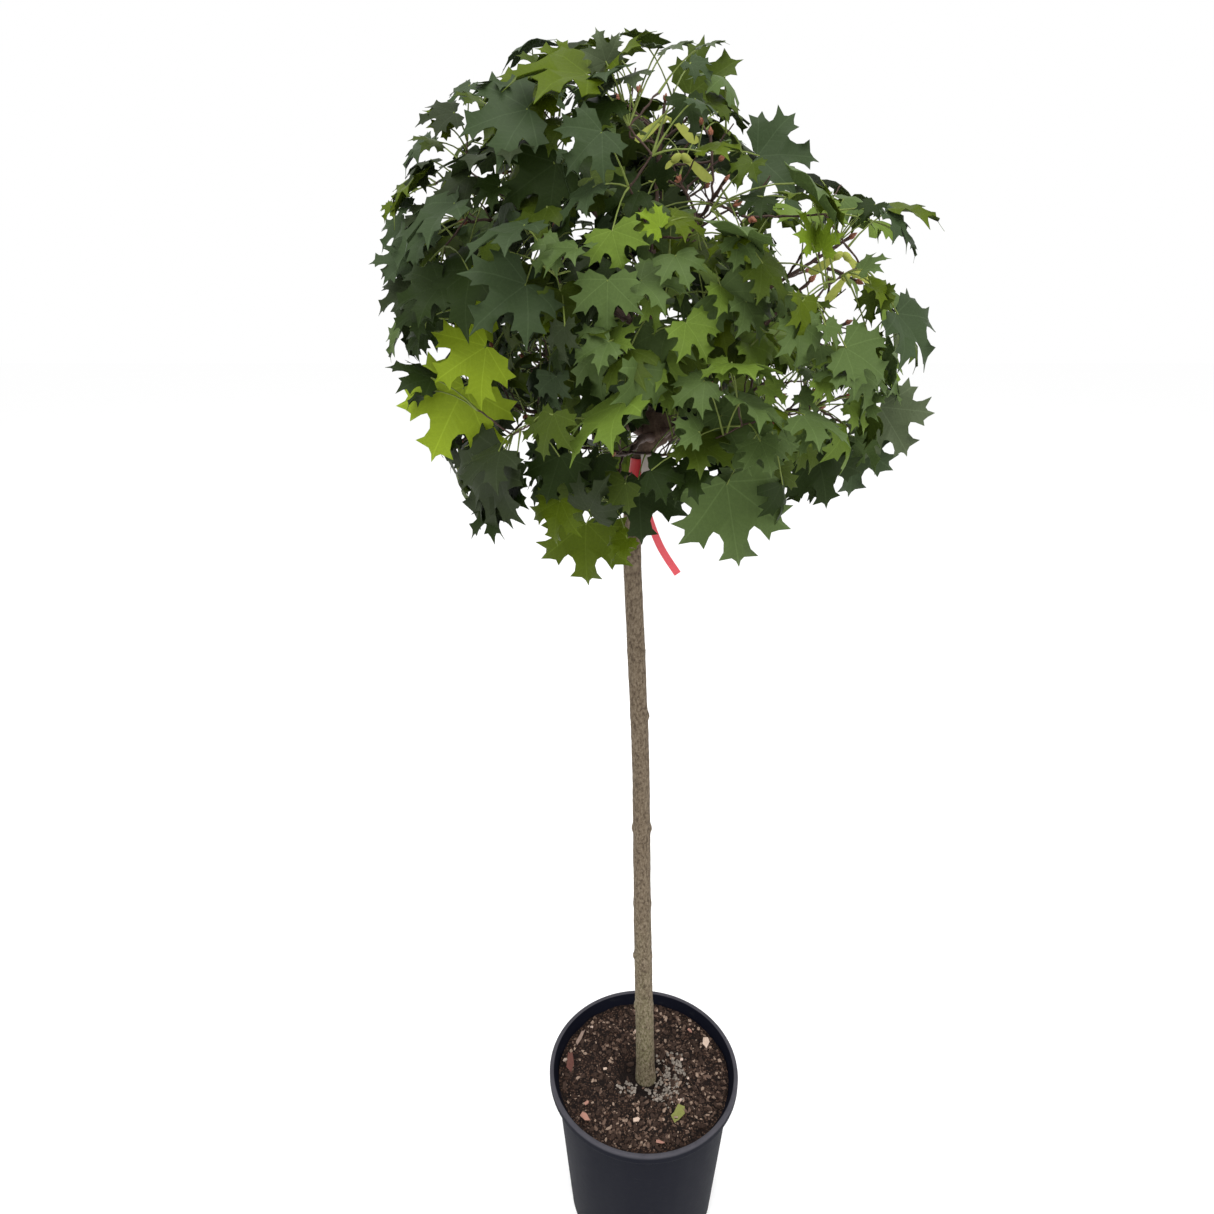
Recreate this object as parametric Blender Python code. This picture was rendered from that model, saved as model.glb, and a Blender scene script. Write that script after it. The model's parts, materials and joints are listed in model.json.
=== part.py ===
"""A potted Norway maple: a round crown grafted on a clear trunk, in a round nursery pot.

Metres, +Z up. The origin is the centre of the pot's flat underside and the crown is seen
from -Y. The crown is grown by a seeded rule: each mass of foliage has one stem, opposite
pairs of side twigs, and leaves in opposite pairs at the twigs' joints. A twig or leaf that
would touch what has grown already, or leave its mass's space, is tried again and then skipped.
"""

import math
import random
from dataclasses import dataclass

import bmesh
import bpy
from mathutils import Vector
from mathutils.bvhtree import BVHTree

UP = Vector((0.0, 0.0, 1.0))
VIEW = Vector((-0.10, -1.0, 0.30))
SKY = Vector((0.0, -0.35, 1.0))
FULL_TURN = 2.0 * math.pi

# Clearance between pieces that touch
GAP = 0.0003

# Pot
POT_HEIGHT = 0.310
POT_SEGMENTS = 38
RIM_RADIUS = 0.1625
RIM_DEPTH = 0.017
RIM_ROUND = 0.003
NECK_RADIUS = 0.1505
FOOT_RADIUS = 0.1280
FOOT_ROUND = 0.004
POT_WALL = 0.0032
POT_FLOOR = 0.0040

# Soil
SOIL_TOP = 0.291
FOOT_LEVEL = 0.279
FOOT_DISC = 0.024
DIP_RADIUS = 0.060
SOIL_RINGS = (0.095, 0.124)
SOIL_RELIEF = 0.0022

# Trunk: height, sideways place and radius at each station
TRUNK_FOOT = FOOT_LEVEL + GAP
TRUNK_STATIONS = (
    (TRUNK_FOOT, 0.0045, 0.0182),
    (0.310, 0.0035, 0.0160),
    (0.490, -0.0025, 0.0147),
    (0.660, -0.0075, 0.0137),
    (0.920, -0.0140, 0.0128),
    (1.120, -0.0240, 0.0123),
    (1.280, -0.0300, 0.0121),
    (1.365, -0.0190, 0.0120),
)
TRUNK_SIDES = 10
TRUNK_RING_STEP = 0.055
KNOT_HEIGHTS = (0.447, 0.555, 0.660, 0.802, 0.995, 1.097)
KNOT_SWELL = 0.13
KNOT_SPAN = 0.013
HEAD_BASE = 1.374
HEAD_RISE = (0.0, 0.012, 0.024, 0.038, 0.048)
HEAD_RADII = (0.0125, 0.0190, 0.0215, 0.0190, 0.0115)
HEAD_SHIFT = 0.016
HEAD_LEAN = 0.35
HEAD_X = TRUNK_STATIONS[-1][1] + HEAD_SHIFT

# Leader: the upright shoot on the head
LEADER_TOP = 1.655
LEADER_BASE_RADIUS = 0.0085
LEADER_TIP_RADIUS = 0.0042
LEADER_SIDES = 8
LEADER_RINGS = 9
LEADER_SWAY = 0.006
LEADER_LEAN = 0.004

# Fused meshes: points closer than this become one, and a loose piece of fewer points is a scrap
CLOSE_POINTS = 0.000001
SMALLEST_PLATE = 12

# Boughs
BOUGH_SIDES = 6
BOUGH_RINGS = 5
BOUGH_BASE_RADIUS = 0.0054
BOUGH_TIP_RADIUS = 0.0034
BOUGH_SHARE = 0.60
BOUGH_ARCH = 0.42
BOUGH_RISE = 0.35

# Twigs
STEM_SIDES = 4
STEM_RADIUS = 0.0034
STEM_TIP_RADIUS = 0.0027
STEM_BEND = 0.10
STEM_OVERRUN = 0.12
STEM_ROLL = 0.3
TWIG_RADIUS = 0.0021
TWIG_TIP_RADIUS = 0.0020
TWIG_ANGLE = math.radians(56.0)
TWIG_LENGTHS = (0.36, 0.50)
TWIG_SHRINKS = (1.0, 0.7, 0.5)
PAIR_PLACES = (0.28, 0.66)
PAIR_STAGGER = 0.022

# Places of leaves along a twig, from the tip, and of features, in shares of its length
TIP_PLACE = 0.97
LEAF_PLACES = (0.87, 0.52, 0.76)
LEAF_STAGGER = 0.0012
FEATURE_PLACES = (0.35, 0.43, 0.60, 0.70, 0.94)

# Leaves, in shares of the length from the stalk's end to the middle tip
LEAF_HALF = ((0.0, 1.0), (0.24, 0.58), (0.62, 0.74), (0.40, 0.30), (0.52, -0.01))
LEAF_CENTRE = 0.30
LEAF_CUP = 0.22
LEAF_THICKNESS = 0.0024
LEAF_LENGTHS = (0.058, 0.086)
STALK_LENGTHS = (0.036, 0.092)
STALK_RADIUS = 0.0010
STALK_ROOT_RADIUS = 0.0007
LEAF_TRIES = 16
LEAF_OVERREACH = 1.12

# Room kept free round a plate, in shares of its size, and the angles its stalk may come in at,
# as cosines: never folded back far, and clear of the plate where it comes in from the side
PLATE_ROOM = 1.03
THICK_ROOM = 2.0
STALK_FOLD = -0.5
STALK_NOTCH = 0.45
STALK_CLEAR = 0.60

# Winged seeds
SEED_HALF = ((0.0, 0.20), (0.24, 0.36), (0.70, 0.68), (0.84, 0.50), (0.42, 0.10))
SEED_CENTRE = 0.10
SEED_LENGTH = 0.046
SEED_THICKNESS = 0.0022

# Label: a plain strip looped round the trunk under the head
LABEL_LOW = 1.331
LABEL_HEIGHT = 0.033
LABEL_THICKNESS = 0.0010
LABEL_SIDES = 14
LABEL_TAIL_WIDTH = 0.0095
LABEL_ROOM = 0.0010
LABEL_TAIL_SHIFT = 0.006
LABEL_TAIL_RUN = ((0.004, -0.006, -0.040), (0.022, -0.012, -0.090), (0.047, -0.013, -0.130))
LABEL_TAIL_FACING = Vector((0.15, -1.0, 0.0))

# The crown's own shape: a globe with one high shoulder that slopes down on the right
CROWN_HEART = Vector((0.0, 0.0, 1.46))
CROWN_MIDDLE = 1.515
CROWN_RADIUS = 0.340
CROWN_HALF_HEIGHT = 0.315
CROWN_FULLNESS = 2.4
SHOULDER_LOW = 1.620
SHOULDER_REACH = 0.296
SHOULDER_SLOPE = 1.7


@dataclass(frozen=True)
class Mass:
    """One mass of foliage: where its bough leaves, its middle, its reach and its fullness."""

    name: str
    parent: str
    leaves_at: float
    middle: tuple
    reach: float
    fullness: float
    seed: int


@dataclass(frozen=True)
class Feature:
    """A leaf or a pair of winged seeds that stands out, with its stalk's end and its tip."""

    mass: str
    kind: str
    junction: tuple
    tip: tuple
    facing: Vector


MASSES = (
    Mass("front_low", "trunk", 1.392, (-0.050, -0.140, 1.390), 0.150, 0.9, 11),
    Mass("left_low", "trunk", 1.398, (-0.190, -0.080, 1.440), 0.150, 1.0, 12),
    Mass("right_low", "trunk", 1.392, (0.205, -0.040, 1.432), 0.145, 0.9, 13),
    Mass("back_low", "trunk", 1.392, (0.010, 0.150, 1.390), 0.150, 0.85, 14),
    Mass("front_right", "trunk", 1.398, (0.095, -0.165, 1.462), 0.140, 1.0, 15),
    Mass("back_left", "trunk", 1.392, (-0.160, 0.140, 1.480), 0.150, 0.9, 16),
    Mass("back_right", "trunk", 1.398, (0.150, 0.160, 1.470), 0.150, 0.9, 17),
    Mass("left", "leader", 1.450, (-0.225, 0.000, 1.580), 0.155, 1.0, 18),
    Mass("front", "leader", 1.470, (-0.030, -0.200, 1.540), 0.150, 1.0, 19),
    Mass("right", "leader", 1.455, (0.215, 0.020, 1.510), 0.145, 0.75, 20),
    Mass("back", "leader", 1.475, (-0.010, 0.200, 1.570), 0.150, 0.95, 21),
    Mass("upper_left", "leader", 1.520, (-0.170, -0.120, 1.640), 0.150, 1.0, 22),
    Mass("right_high", "leader", 1.500, (0.195, -0.040, 1.600), 0.140, 0.45, 23),
    Mass("upper_back", "leader", 1.560, (0.010, 0.140, 1.680), 0.145, 0.9, 24),
    Mass("upper_front", "leader", 1.575, (0.050, -0.110, 1.650), 0.130, 0.8, 25),
    Mass("top_left", "leader", 1.600, (-0.140, 0.020, 1.700), 0.150, 1.0, 26),
    Mass("top", "leader", LEADER_TOP, (0.000, 0.000, 1.740), 0.125, 0.9, 27),
)

FEATURES = (
    Feature("top", "seeds", (-0.002, -0.095, 1.724), (-0.005, -0.105, 1.680), VIEW),
    Feature("top", "seeds", (0.010, -0.120, 1.686), (0.008, -0.130, 1.642), VIEW),
    Feature("right_high", "seeds", (0.186, -0.095, 1.598), (0.180, -0.105, 1.555), VIEW),
    Feature("right_high", "seeds", (0.205, -0.060, 1.580), (0.215, -0.075, 1.540), VIEW),
    Feature("upper_back", "seeds", (0.060, 0.190, 1.730), (0.065, 0.205, 1.688), -VIEW),
    Feature("top_left", "seeds", (-0.150, 0.110, 1.745), (-0.160, 0.125, 1.703), -VIEW),
    Feature("left_low", "leaf", (-0.210, -0.170, 1.469), (-0.252, -0.175, 1.389), VIEW),
    Feature("left_low", "leaf", (-0.181, -0.200, 1.510), (-0.236, -0.205, 1.475), VIEW),
    Feature("upper_left", "leaf", (-0.178, -0.160, 1.545), (-0.232, -0.170, 1.560), VIEW),
    Feature("upper_left", "leaf", (-0.135, -0.250, 1.565), (-0.180, -0.285, 1.533), VIEW),
    Feature("left_low", "leaf", (-0.267, -0.060, 1.472), (-0.327, -0.070, 1.456), VIEW),
    Feature("left_low", "leaf", (-0.188, -0.080, 1.378), (-0.238, -0.085, 1.300), VIEW),
    Feature("front_low", "leaf", (-0.088, -0.100, 1.306), (-0.092, -0.110, 1.225), VIEW),
    Feature("front_low", "leaf", (-0.029, -0.140, 1.368), (-0.023, -0.150, 1.290), VIEW),
    Feature("front_low", "leaf", (-0.042, -0.180, 1.447), (-0.110, -0.195, 1.405), VIEW),
    Feature("front_right", "leaf", (0.060, -0.200, 1.376), (0.078, -0.205, 1.275), VIEW),
    Feature("front_right", "leaf", (0.047, -0.220, 1.447), (0.075, -0.260, 1.400), VIEW),
    Feature("right_low", "leaf", (0.182, -0.080, 1.385), (0.205, -0.085, 1.317), VIEW),
    Feature("right_low", "leaf", (0.238, -0.020, 1.389), (0.250, -0.025, 1.314), VIEW),
    Feature("right_low", "leaf", (0.262, -0.040, 1.432), (0.305, -0.050, 1.372), VIEW),
    Feature("upper_front", "leaf", (0.092, -0.080, 1.690), (0.155, -0.090, 1.695), VIEW),
    Feature("right_high", "leaf", (0.246, -0.030, 1.632), (0.325, -0.030, 1.628), VIEW),
    Feature("right_high", "leaf", (0.165, 0.020, 1.662), (0.228, 0.010, 1.632), SKY),
    Feature("right", "leaf", (0.265, -0.060, 1.538), (0.335, -0.070, 1.506), VIEW),
    Feature("right", "leaf", (0.219, -0.070, 1.497), (0.278, -0.090, 1.467), VIEW),
    Feature("left", "leaf", (-0.265, -0.040, 1.615), (-0.330, -0.050, 1.580), VIEW),
    Feature("left", "leaf", (-0.262, 0.020, 1.560), (-0.325, 0.015, 1.520), VIEW),
    Feature("upper_left", "leaf", (-0.245, -0.060, 1.690), (-0.305, -0.070, 1.650), VIEW),
    Feature("upper_left", "leaf", (-0.141, -0.150, 1.720), (-0.165, -0.180, 1.660), VIEW),
    Feature("top_left", "leaf", (-0.111, -0.050, 1.777), (-0.180, -0.070, 1.765), VIEW),
    Feature("top_left", "leaf", (-0.200, 0.000, 1.735), (-0.265, -0.010, 1.700), VIEW),
    Feature("top", "leaf", (-0.072, 0.010, 1.782), (-0.020, -0.005, 1.818), SKY),
    Feature("top", "leaf", (0.000, 0.040, 1.785), (0.066, 0.025, 1.800), VIEW),
    Feature("top", "leaf", (0.024, -0.030, 1.755), (0.072, -0.050, 1.786), VIEW),
)


def unit_ring(axis, sides):
    """Unit vectors square to an axis, evenly spaced round it."""
    side = axis.orthogonal().normalized()
    other = axis.cross(side).normalized()
    turns = [FULL_TURN * number / sides for number in range(sides)]
    return [side * math.cos(turn) + other * math.sin(turn) for turn in turns]


def tube(path, radii, sides, start_normal=None):
    """A closed tube along a path; its first ring may lie in a given plane."""
    verts = []
    count = len(path)
    tangents = []
    for number in range(count):
        before = path[max(number - 1, 0)]
        after = path[min(number + 1, count - 1)]
        tangents.append((after - before).normalized())
    if start_normal is not None:
        tangents[0] = start_normal
    ring = unit_ring(tangents[0], sides)
    for number in range(count):
        if number:
            turn = tangents[number - 1].rotation_difference(tangents[number])
            ring = [(turn @ spoke) for spoke in ring]
        verts += [path[number] + spoke * radii[number] for spoke in ring]
    faces = [tuple(reversed(range(sides)))]
    for number in range(count - 1):
        low = number * sides
        for side in range(sides):
            after = (side + 1) % sides
            faces.append((low + side, low + after, low + sides + after, low + sides + side))
    faces.append(tuple(range((count - 1) * sides, count * sides)))
    return verts, faces


def stalked_plate(half, centre, scale, cup, thickness, junction, midrib, normal, root):
    """A thin cupped plate with a mirrored outline, on a three-sided stalk from its root."""
    across = midrib.cross(normal).normalized()
    stalk = (junction - root).normalized()
    bend = (stalk + midrib).normalized()
    over = across.cross(bend).normalized()
    if over.dot(normal) < 0.0:
        over = -over

    def place(x, y, z):
        drop = cup * (x * x + (y - centre) ** 2)
        return junction + scale * (across * x + midrib * y - normal * drop) + normal * z

    verts = [place(0.0, centre, thickness / 2), place(0.0, centre, -thickness / 2)]
    right = [place(x, y, 0.0) for x, y in half]
    left = [place(-x, y, 0.0) for x, y in reversed(half[1:])]
    corner_right = junction + across * STALK_RADIUS + over * STALK_RADIUS / 2
    corner_left = junction - across * STALK_RADIUS + over * STALK_RADIUS / 2
    corner_low = junction - over * STALK_RADIUS
    verts += right + [corner_right, corner_left] + left
    rim = list(range(2, len(verts)))
    index_right = 2 + len(right)
    index_left = index_right + 1
    index_low = len(verts)
    verts.append(corner_low)
    root_across = (across - stalk * across.dot(stalk)).normalized()
    root_over = stalk.cross(root_across).normalized()
    if root_over.dot(over) < 0.0:
        root_over = -root_over
    verts.append(root + (root_across + root_over / 2) * STALK_ROOT_RADIUS)
    verts.append(root + (root_over / 2 - root_across) * STALK_ROOT_RADIUS)
    verts.append(root - root_over * STALK_ROOT_RADIUS)
    root_right, root_left, root_low = index_low + 1, index_low + 2, index_low + 3
    faces = []
    for number, vertex in enumerate(rim):
        after = rim[(number + 1) % len(rim)]
        faces.append((0, after, vertex))
        if vertex == index_right:
            faces += [(1, vertex, index_low), (1, index_low, after)]
        else:
            faces.append((1, vertex, after))
    faces += [(index_left, index_right, root_right), (index_left, root_right, root_left)]
    faces += [(index_right, index_low, root_low), (index_right, root_low, root_right)]
    faces += [(index_low, index_left, root_left), (index_low, root_left, root_low)]
    faces.append((root_right, root_low, root_left))
    return verts, faces


def bezier(start, control, end, count):
    """Points along a quadratic curve."""
    points = []
    for number in range(count):
        t = number / (count - 1)
        points.append(start * (1 - t) ** 2 + control * 2 * t * (1 - t) + end * t * t)
    return points


def ramp(first, last, count):
    """Evenly spaced values from the first to the last."""
    return [first + (last - first) * number / (count - 1) for number in range(count)]


def revolve(profile, segments):
    """A closed solid turned about the Z axis from radius and height pairs."""
    mesh = bmesh.new()
    points = [mesh.verts.new((radius, 0.0, height)) for radius, height in profile]
    for number in range(len(points) - 1):
        mesh.edges.new((points[number], points[number + 1]))
    bmesh.ops.spin(
        mesh, geom=mesh.verts[:] + mesh.edges[:], cent=(0, 0, 0), axis=(0, 0, 1),
        angle=FULL_TURN, steps=segments, use_merge=True, use_duplicate=False)
    bmesh.ops.remove_doubles(mesh, verts=mesh.verts[:], dist=1e-6)
    bmesh.ops.recalc_face_normals(mesh, faces=mesh.faces[:])
    return mesh


def in_crown(point):
    """Tell whether a point lies in the crown's globe and under its right shoulder."""
    share = abs(point.z - CROWN_MIDDLE) / CROWN_HALF_HEIGHT
    if share >= 1.0:
        return False
    radius = CROWN_RADIUS * math.sqrt(1.0 - share ** CROWN_FULLNESS)
    shoulder = SHOULDER_REACH - SHOULDER_SLOPE * (point.z - SHOULDER_LOW)
    return math.hypot(point.x, point.y) < radius and point.x < shoulder


class Clearance:
    """What has grown so far, with a test of whether a new piece is clear of it."""

    def __init__(self):
        self.grown = []

    def box(self, verts):
        """Lowest and highest corners of some points."""
        low = tuple(min(vert[axis] for vert in verts) for axis in range(3))
        high = tuple(max(vert[axis] for vert in verts) for axis in range(3))
        return low, high

    def add(self, verts, faces):
        """Take a piece in, and return its number."""
        self.grown.append((self.box(verts), BVHTree.FromPolygons(verts, faces)))
        return len(self.grown) - 1

    def is_clear(self, verts, faces, skip=None):
        """Tell whether a piece touches nothing that was taken in."""
        low, high = self.box(verts)
        tree = None
        for number, ((other_low, other_high), other) in enumerate(self.grown):
            if number == skip:
                continue
            if any(low[axis] > other_high[axis] or high[axis] < other_low[axis] for axis in range(3)):
                continue
            if tree is None:
                tree = BVHTree.FromPolygons(verts, faces)
            if tree.overlap(other):
                return False
        return True


class Twig:
    """A stem or a side twig: its path, its radii and the places where leaves can stand."""

    def __init__(self, path, start_radius, end_radius, sides, start_normal=None):
        self.path = path
        self.radii = ramp(start_radius, end_radius, len(path))
        self.sides = sides
        self.start_normal = start_normal
        self.number = None

    def mesh(self):
        """The twig's own closed tube."""
        return tube(self.path, self.radii, self.sides, self.start_normal)

    def at(self, share):
        """Point, heading and radius at a share of the length."""
        place = share * (len(self.path) - 1)
        number = min(int(place), len(self.path) - 2)
        part = place - number
        start, end = self.path[number], self.path[number + 1]
        radius = self.radii[number] * (1 - part) + self.radii[number + 1] * part
        return start.lerp(end, part), (end - start).normalized(), radius


class Crown:
    """The boughs and the masses of foliage, grown together so that nothing touches."""

    def __init__(self, trees):
        self.clearance = Clearance()
        self.trees = trees
        self.boughs = {}
        self.twigs = {}
        self.plates = {mass.name: [] for mass in MASSES}
        self.rng = {mass.name: random.Random(mass.seed) for mass in MASSES}

    def grow(self):
        """Grow boughs, twigs, features and then leaves, turn by turn over the masses."""
        for mass in MASSES:
            self.grow_bough(mass)
        for mass in MASSES:
            self.grow_twigs(mass)
        for feature in FEATURES:
            self.grow_feature(feature)
        places = {mass.name: self.leaf_places(mass) for mass in MASSES}
        for turn in range(max(len(row) for row in places.values())):
            for mass in MASSES:
                if turn < len(places[mass.name]):
                    self.grow_leaf(mass, *places[mass.name][turn])

    def grow_bough(self, mass):
        """A tapering limb from the parent's surface to the edge of the mass."""
        middle = Vector(mass.middle)
        if mass.leaves_at == LEADER_TOP:
            self.boughs[mass.name] = None
            return
        axis_x = HEAD_X if mass.parent == "trunk" else leader_x(mass.leaves_at)
        axis = Vector((axis_x, 0.0, mass.leaves_at))
        out = Vector((middle.x - axis.x, middle.y - axis.y, 0.0)).normalized()
        hit, normal, _, _ = self.trees[mass.parent].ray_cast(axis + out * 0.2, -out)
        start = hit + normal * GAP
        end = start.lerp(middle, BOUGH_SHARE)
        lift = (end - start).length * BOUGH_ARCH
        control = start + (normal + UP * BOUGH_RISE).normalized() * lift
        path = bezier(start, control, end, BOUGH_RINGS)
        radii = ramp(BOUGH_BASE_RADIUS, BOUGH_TIP_RADIUS, BOUGH_RINGS)
        verts, faces = tube(path, radii, BOUGH_SIDES, normal)
        self.boughs[mass.name] = (verts, faces, path[-1], (path[-1] - path[-2]).normalized())
        self.clearance.add(verts, faces)

    def grow_twigs(self, mass):
        """One stem from the bough's tip and opposite pairs of side twigs."""
        rng = self.rng[mass.name]
        bough = self.boughs[mass.name]
        if bough is None:
            start, heading = self.trees["leader_tip"], UP
        else:
            start, heading = bough[2], bough[3]
        start = start + heading * GAP
        middle = Vector(mass.middle)
        run = (middle - start).length + STEM_OVERRUN * mass.reach
        aim = ((middle - start).normalized() + UP * STEM_BEND).normalized()
        path = bezier(start, start + heading * run * 0.4, start + aim * run, 4)
        stem = Twig(path, STEM_RADIUS, STEM_TIP_RADIUS, STEM_SIDES, heading)
        stem.number = self.clearance.add(*stem.mesh())
        twigs = [stem]
        roll = rng.uniform(-STEM_ROLL, STEM_ROLL)
        for number, share in enumerate(PAIR_PLACES):
            _, along, _ = stem.at(share)
            level = along.cross(UP).normalized()
            raised = level.cross(along)
            turn = roll + number * math.pi / 2
            side = level * math.cos(turn) + raised * math.sin(turn)
            for sign in (1, -1):
                root, _, _ = stem.at(share + sign * PAIR_STAGGER)
                length = mass.reach * rng.uniform(*TWIG_LENGTHS)
                lead = along * math.cos(TWIG_ANGLE) + side * sign * math.sin(TWIG_ANGLE)
                lead = (lead + UP * rng.uniform(-0.05, 0.25)).normalized()
                for shrink in TWIG_SHRINKS:
                    end = root + lead * length * shrink
                    twig = Twig([root, end], TWIG_RADIUS, TWIG_TIP_RADIUS, 3)
                    if self.clearance.is_clear(*twig.mesh(), skip=stem.number):
                        twig.number = self.clearance.add(*twig.mesh())
                        twigs.append(twig)
                        break
        self.twigs[mass.name] = twigs

    def leaf_places(self, mass):
        """Twig, share of its length, heading and side for each leaf, tips first."""
        rng = self.rng[mass.name]
        places = []
        stem = self.twigs[mass.name][0]
        for twig in self.twigs[mass.name]:
            places.append((twig, TIP_PLACE, twig.at(TIP_PLACE)[1], UP * 0.4, 0.0))
        for share in LEAF_PLACES:
            for twig in self.twigs[mass.name]:
                if share == LEAF_PLACES[-1] and twig is not stem:
                    continue
                _, along, _ = twig.at(share)
                level = along.orthogonal().normalized()
                turn = rng.uniform(0.0, math.pi)
                side = level * math.cos(turn) + along.cross(level) * math.sin(turn)
                places.append((twig, share, along, side, LEAF_STAGGER))
                places.append((twig, share, along, -side, -LEAF_STAGGER))
        keep = max(1, round(len(places) * mass.fullness))
        return places[:keep]

    def blade_axes(self, junction, lead, rng):
        """The leaf's midrib and its upper side: it faces out and up, and its tip hangs."""
        outward = junction - CROWN_HEART
        outward.z *= 0.4
        outward.normalize()
        height = 0.5 + 0.5 * (junction.z - CROWN_MIDDLE) / CROWN_HALF_HEIGHT
        shake = Vector([rng.uniform(-1.0, 1.0) for _ in range(3)])
        normal = outward * (0.85 - 0.30 * height) + UP * (0.25 + 0.45 * height) + shake * 0.62
        normal.normalize()
        shake = Vector([rng.uniform(-1.0, 1.0) for _ in range(3)])
        midrib = lead * 0.7 + outward * 0.35 - UP * (0.75 - 0.35 * height) + shake * 0.30
        midrib = (midrib - normal * midrib.dot(normal)).normalized()
        return midrib, normal

    def try_plate(self, mass, shape, twig, root, junction, midrib, normal):
        """Add a plate if it and its stalk touch nothing but the twig that carries it."""
        half, centre, scale, cup, thickness = shape
        stalk = (junction - root).normalized()
        if stalk.dot(midrib) < STALK_FOLD:
            return False
        if stalk.dot(midrib) < STALK_NOTCH and abs(stalk.dot(normal)) < STALK_CLEAR:
            return False
        proxy = stalked_plate(
            half, centre, scale * PLATE_ROOM, cup, thickness * THICK_ROOM, junction, midrib, normal, root)
        if not self.clearance.is_clear(*proxy, skip=twig.number):
            return False
        self.clearance.add(*proxy)
        plate = stalked_plate(half, centre, scale, cup, thickness, junction, midrib, normal, root)
        self.plates[mass].append(plate)
        return True

    def grow_leaf(self, mass, twig, share, along, side, stagger):
        """Try a leaf at one place, with another length, angle and turn each time."""
        rng = self.rng[mass.name]
        middle = Vector(mass.middle)
        root = twig.at(share)[0] + along * stagger
        for _ in range(LEAF_TRIES):
            lead = along * rng.uniform(0.35, 0.8) + side + UP * rng.uniform(0.0, 0.45)
            lead.normalize()
            junction = root + lead * rng.uniform(*STALK_LENGTHS)
            length = rng.uniform(*LEAF_LENGTHS)
            midrib, normal = self.blade_axes(junction, lead, rng)
            tip = junction + midrib * length
            across = midrib.cross(normal) * length * LEAF_HALF[2][0]
            shoulder = junction + midrib * length * LEAF_HALF[2][1]
            corners = (tip, shoulder + across, shoulder - across)
            too_far = (tip - middle).length > mass.reach * LEAF_OVERREACH
            if too_far or not all(map(in_crown, corners)):
                continue
            shape = (LEAF_HALF, LEAF_CENTRE, length, LEAF_CUP, LEAF_THICKNESS)
            if self.try_plate(mass.name, shape, twig, root, junction, midrib, normal):
                return

    def grow_feature(self, feature):
        """A leaf or a pair of winged seeds at a set place, on the nearest twig of its mass."""
        junction, tip = Vector(feature.junction), Vector(feature.tip)
        midrib = (tip - junction).normalized()
        normal = (feature.facing - midrib * feature.facing.dot(midrib)).normalized()
        if feature.kind == "leaf":
            shape = (LEAF_HALF, LEAF_CENTRE, (tip - junction).length, LEAF_CUP, LEAF_THICKNESS)
        else:
            shape = (SEED_HALF, SEED_CENTRE, SEED_LENGTH, 0.0, SEED_THICKNESS)
        roots = [
            (twig.at(share)[0], twig) for twig in self.twigs[feature.mass] for share in FEATURE_PLACES]
        for root, twig in sorted(roots, key=lambda place: (place[0] - junction).length):
            if self.try_plate(feature.mass, shape, twig, root, junction, midrib, normal):
                return
        print("no room for a feature of", feature.mass, feature.junction)


def material(name, colour, roughness):
    """A plain finish with a base colour and a roughness."""
    made = bpy.data.materials.new(name)
    made.use_nodes = True
    shader = made.node_tree.nodes["Principled BSDF"]
    shader.inputs["Base Color"].default_value = (*colour, 1.0)
    shader.inputs["Roughness"].default_value = roughness
    shader.inputs["Metallic"].default_value = 0.0
    return made


def add_object(name, mesh, finish, parent, smooth_angle=None):
    """Make a named object of a bmesh, which is freed."""
    bmesh.ops.recalc_face_normals(mesh, faces=mesh.faces[:])
    data = bpy.data.meshes.new(name)
    mesh.to_mesh(data)
    mesh.free()
    data.materials.append(finish)
    if smooth_angle is not None:
        data.shade_smooth()
        data.set_sharp_from_angle(angle=math.radians(smooth_angle))
    made = bpy.data.objects.new(name, data)
    made.parent = parent
    bpy.context.scene.collection.objects.link(made)
    return made


def as_bmesh(verts, faces):
    """A bmesh of points and faces, cut into triangles so that every face is flat."""
    mesh = bmesh.new()
    made = [mesh.verts.new(vert) for vert in verts]
    for face in faces:
        mesh.faces.new([made[number] for number in face])
    bmesh.ops.triangulate(mesh, faces=mesh.faces[:])
    return mesh


def outer_radius(height):
    """The pot wall's outer radius at a height."""
    share = height / (POT_HEIGHT - RIM_DEPTH)
    return FOOT_RADIUS + (NECK_RADIUS - FOOT_RADIUS) * share


def build_pot(finish, parent):
    """A tapering wall with a rolled rim and a closed, flat foot."""
    rim_low = POT_HEIGHT - RIM_DEPTH
    inner_foot = outer_radius(POT_FLOOR) - POT_WALL
    inner_neck = NECK_RADIUS - POT_WALL
    profile = [
        (0.0, 0.0), (FOOT_RADIUS - FOOT_ROUND, 0.0), (outer_radius(FOOT_ROUND), FOOT_ROUND),
        (NECK_RADIUS, rim_low), (RIM_RADIUS - RIM_ROUND, rim_low), (RIM_RADIUS, rim_low + RIM_ROUND),
        (RIM_RADIUS, POT_HEIGHT - RIM_ROUND), (RIM_RADIUS - RIM_ROUND, POT_HEIGHT),
        (NECK_RADIUS + RIM_ROUND, POT_HEIGHT), (NECK_RADIUS, POT_HEIGHT - RIM_ROUND),
        (inner_neck, rim_low - RIM_ROUND), (inner_foot, POT_FLOOR), (0.0, POT_FLOOR),
    ]
    return add_object("pot", revolve(profile, POT_SEGMENTS), finish, parent, 35)


def inner_radius(height):
    """The pot wall's inner radius at a height below its neck."""
    low, high = POT_FLOOR, POT_HEIGHT - RIM_DEPTH - RIM_ROUND
    inner_foot = outer_radius(POT_FLOOR) - POT_WALL
    return inner_foot + (NECK_RADIUS - POT_WALL - inner_foot) * (height - low) / (high - low)


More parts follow.
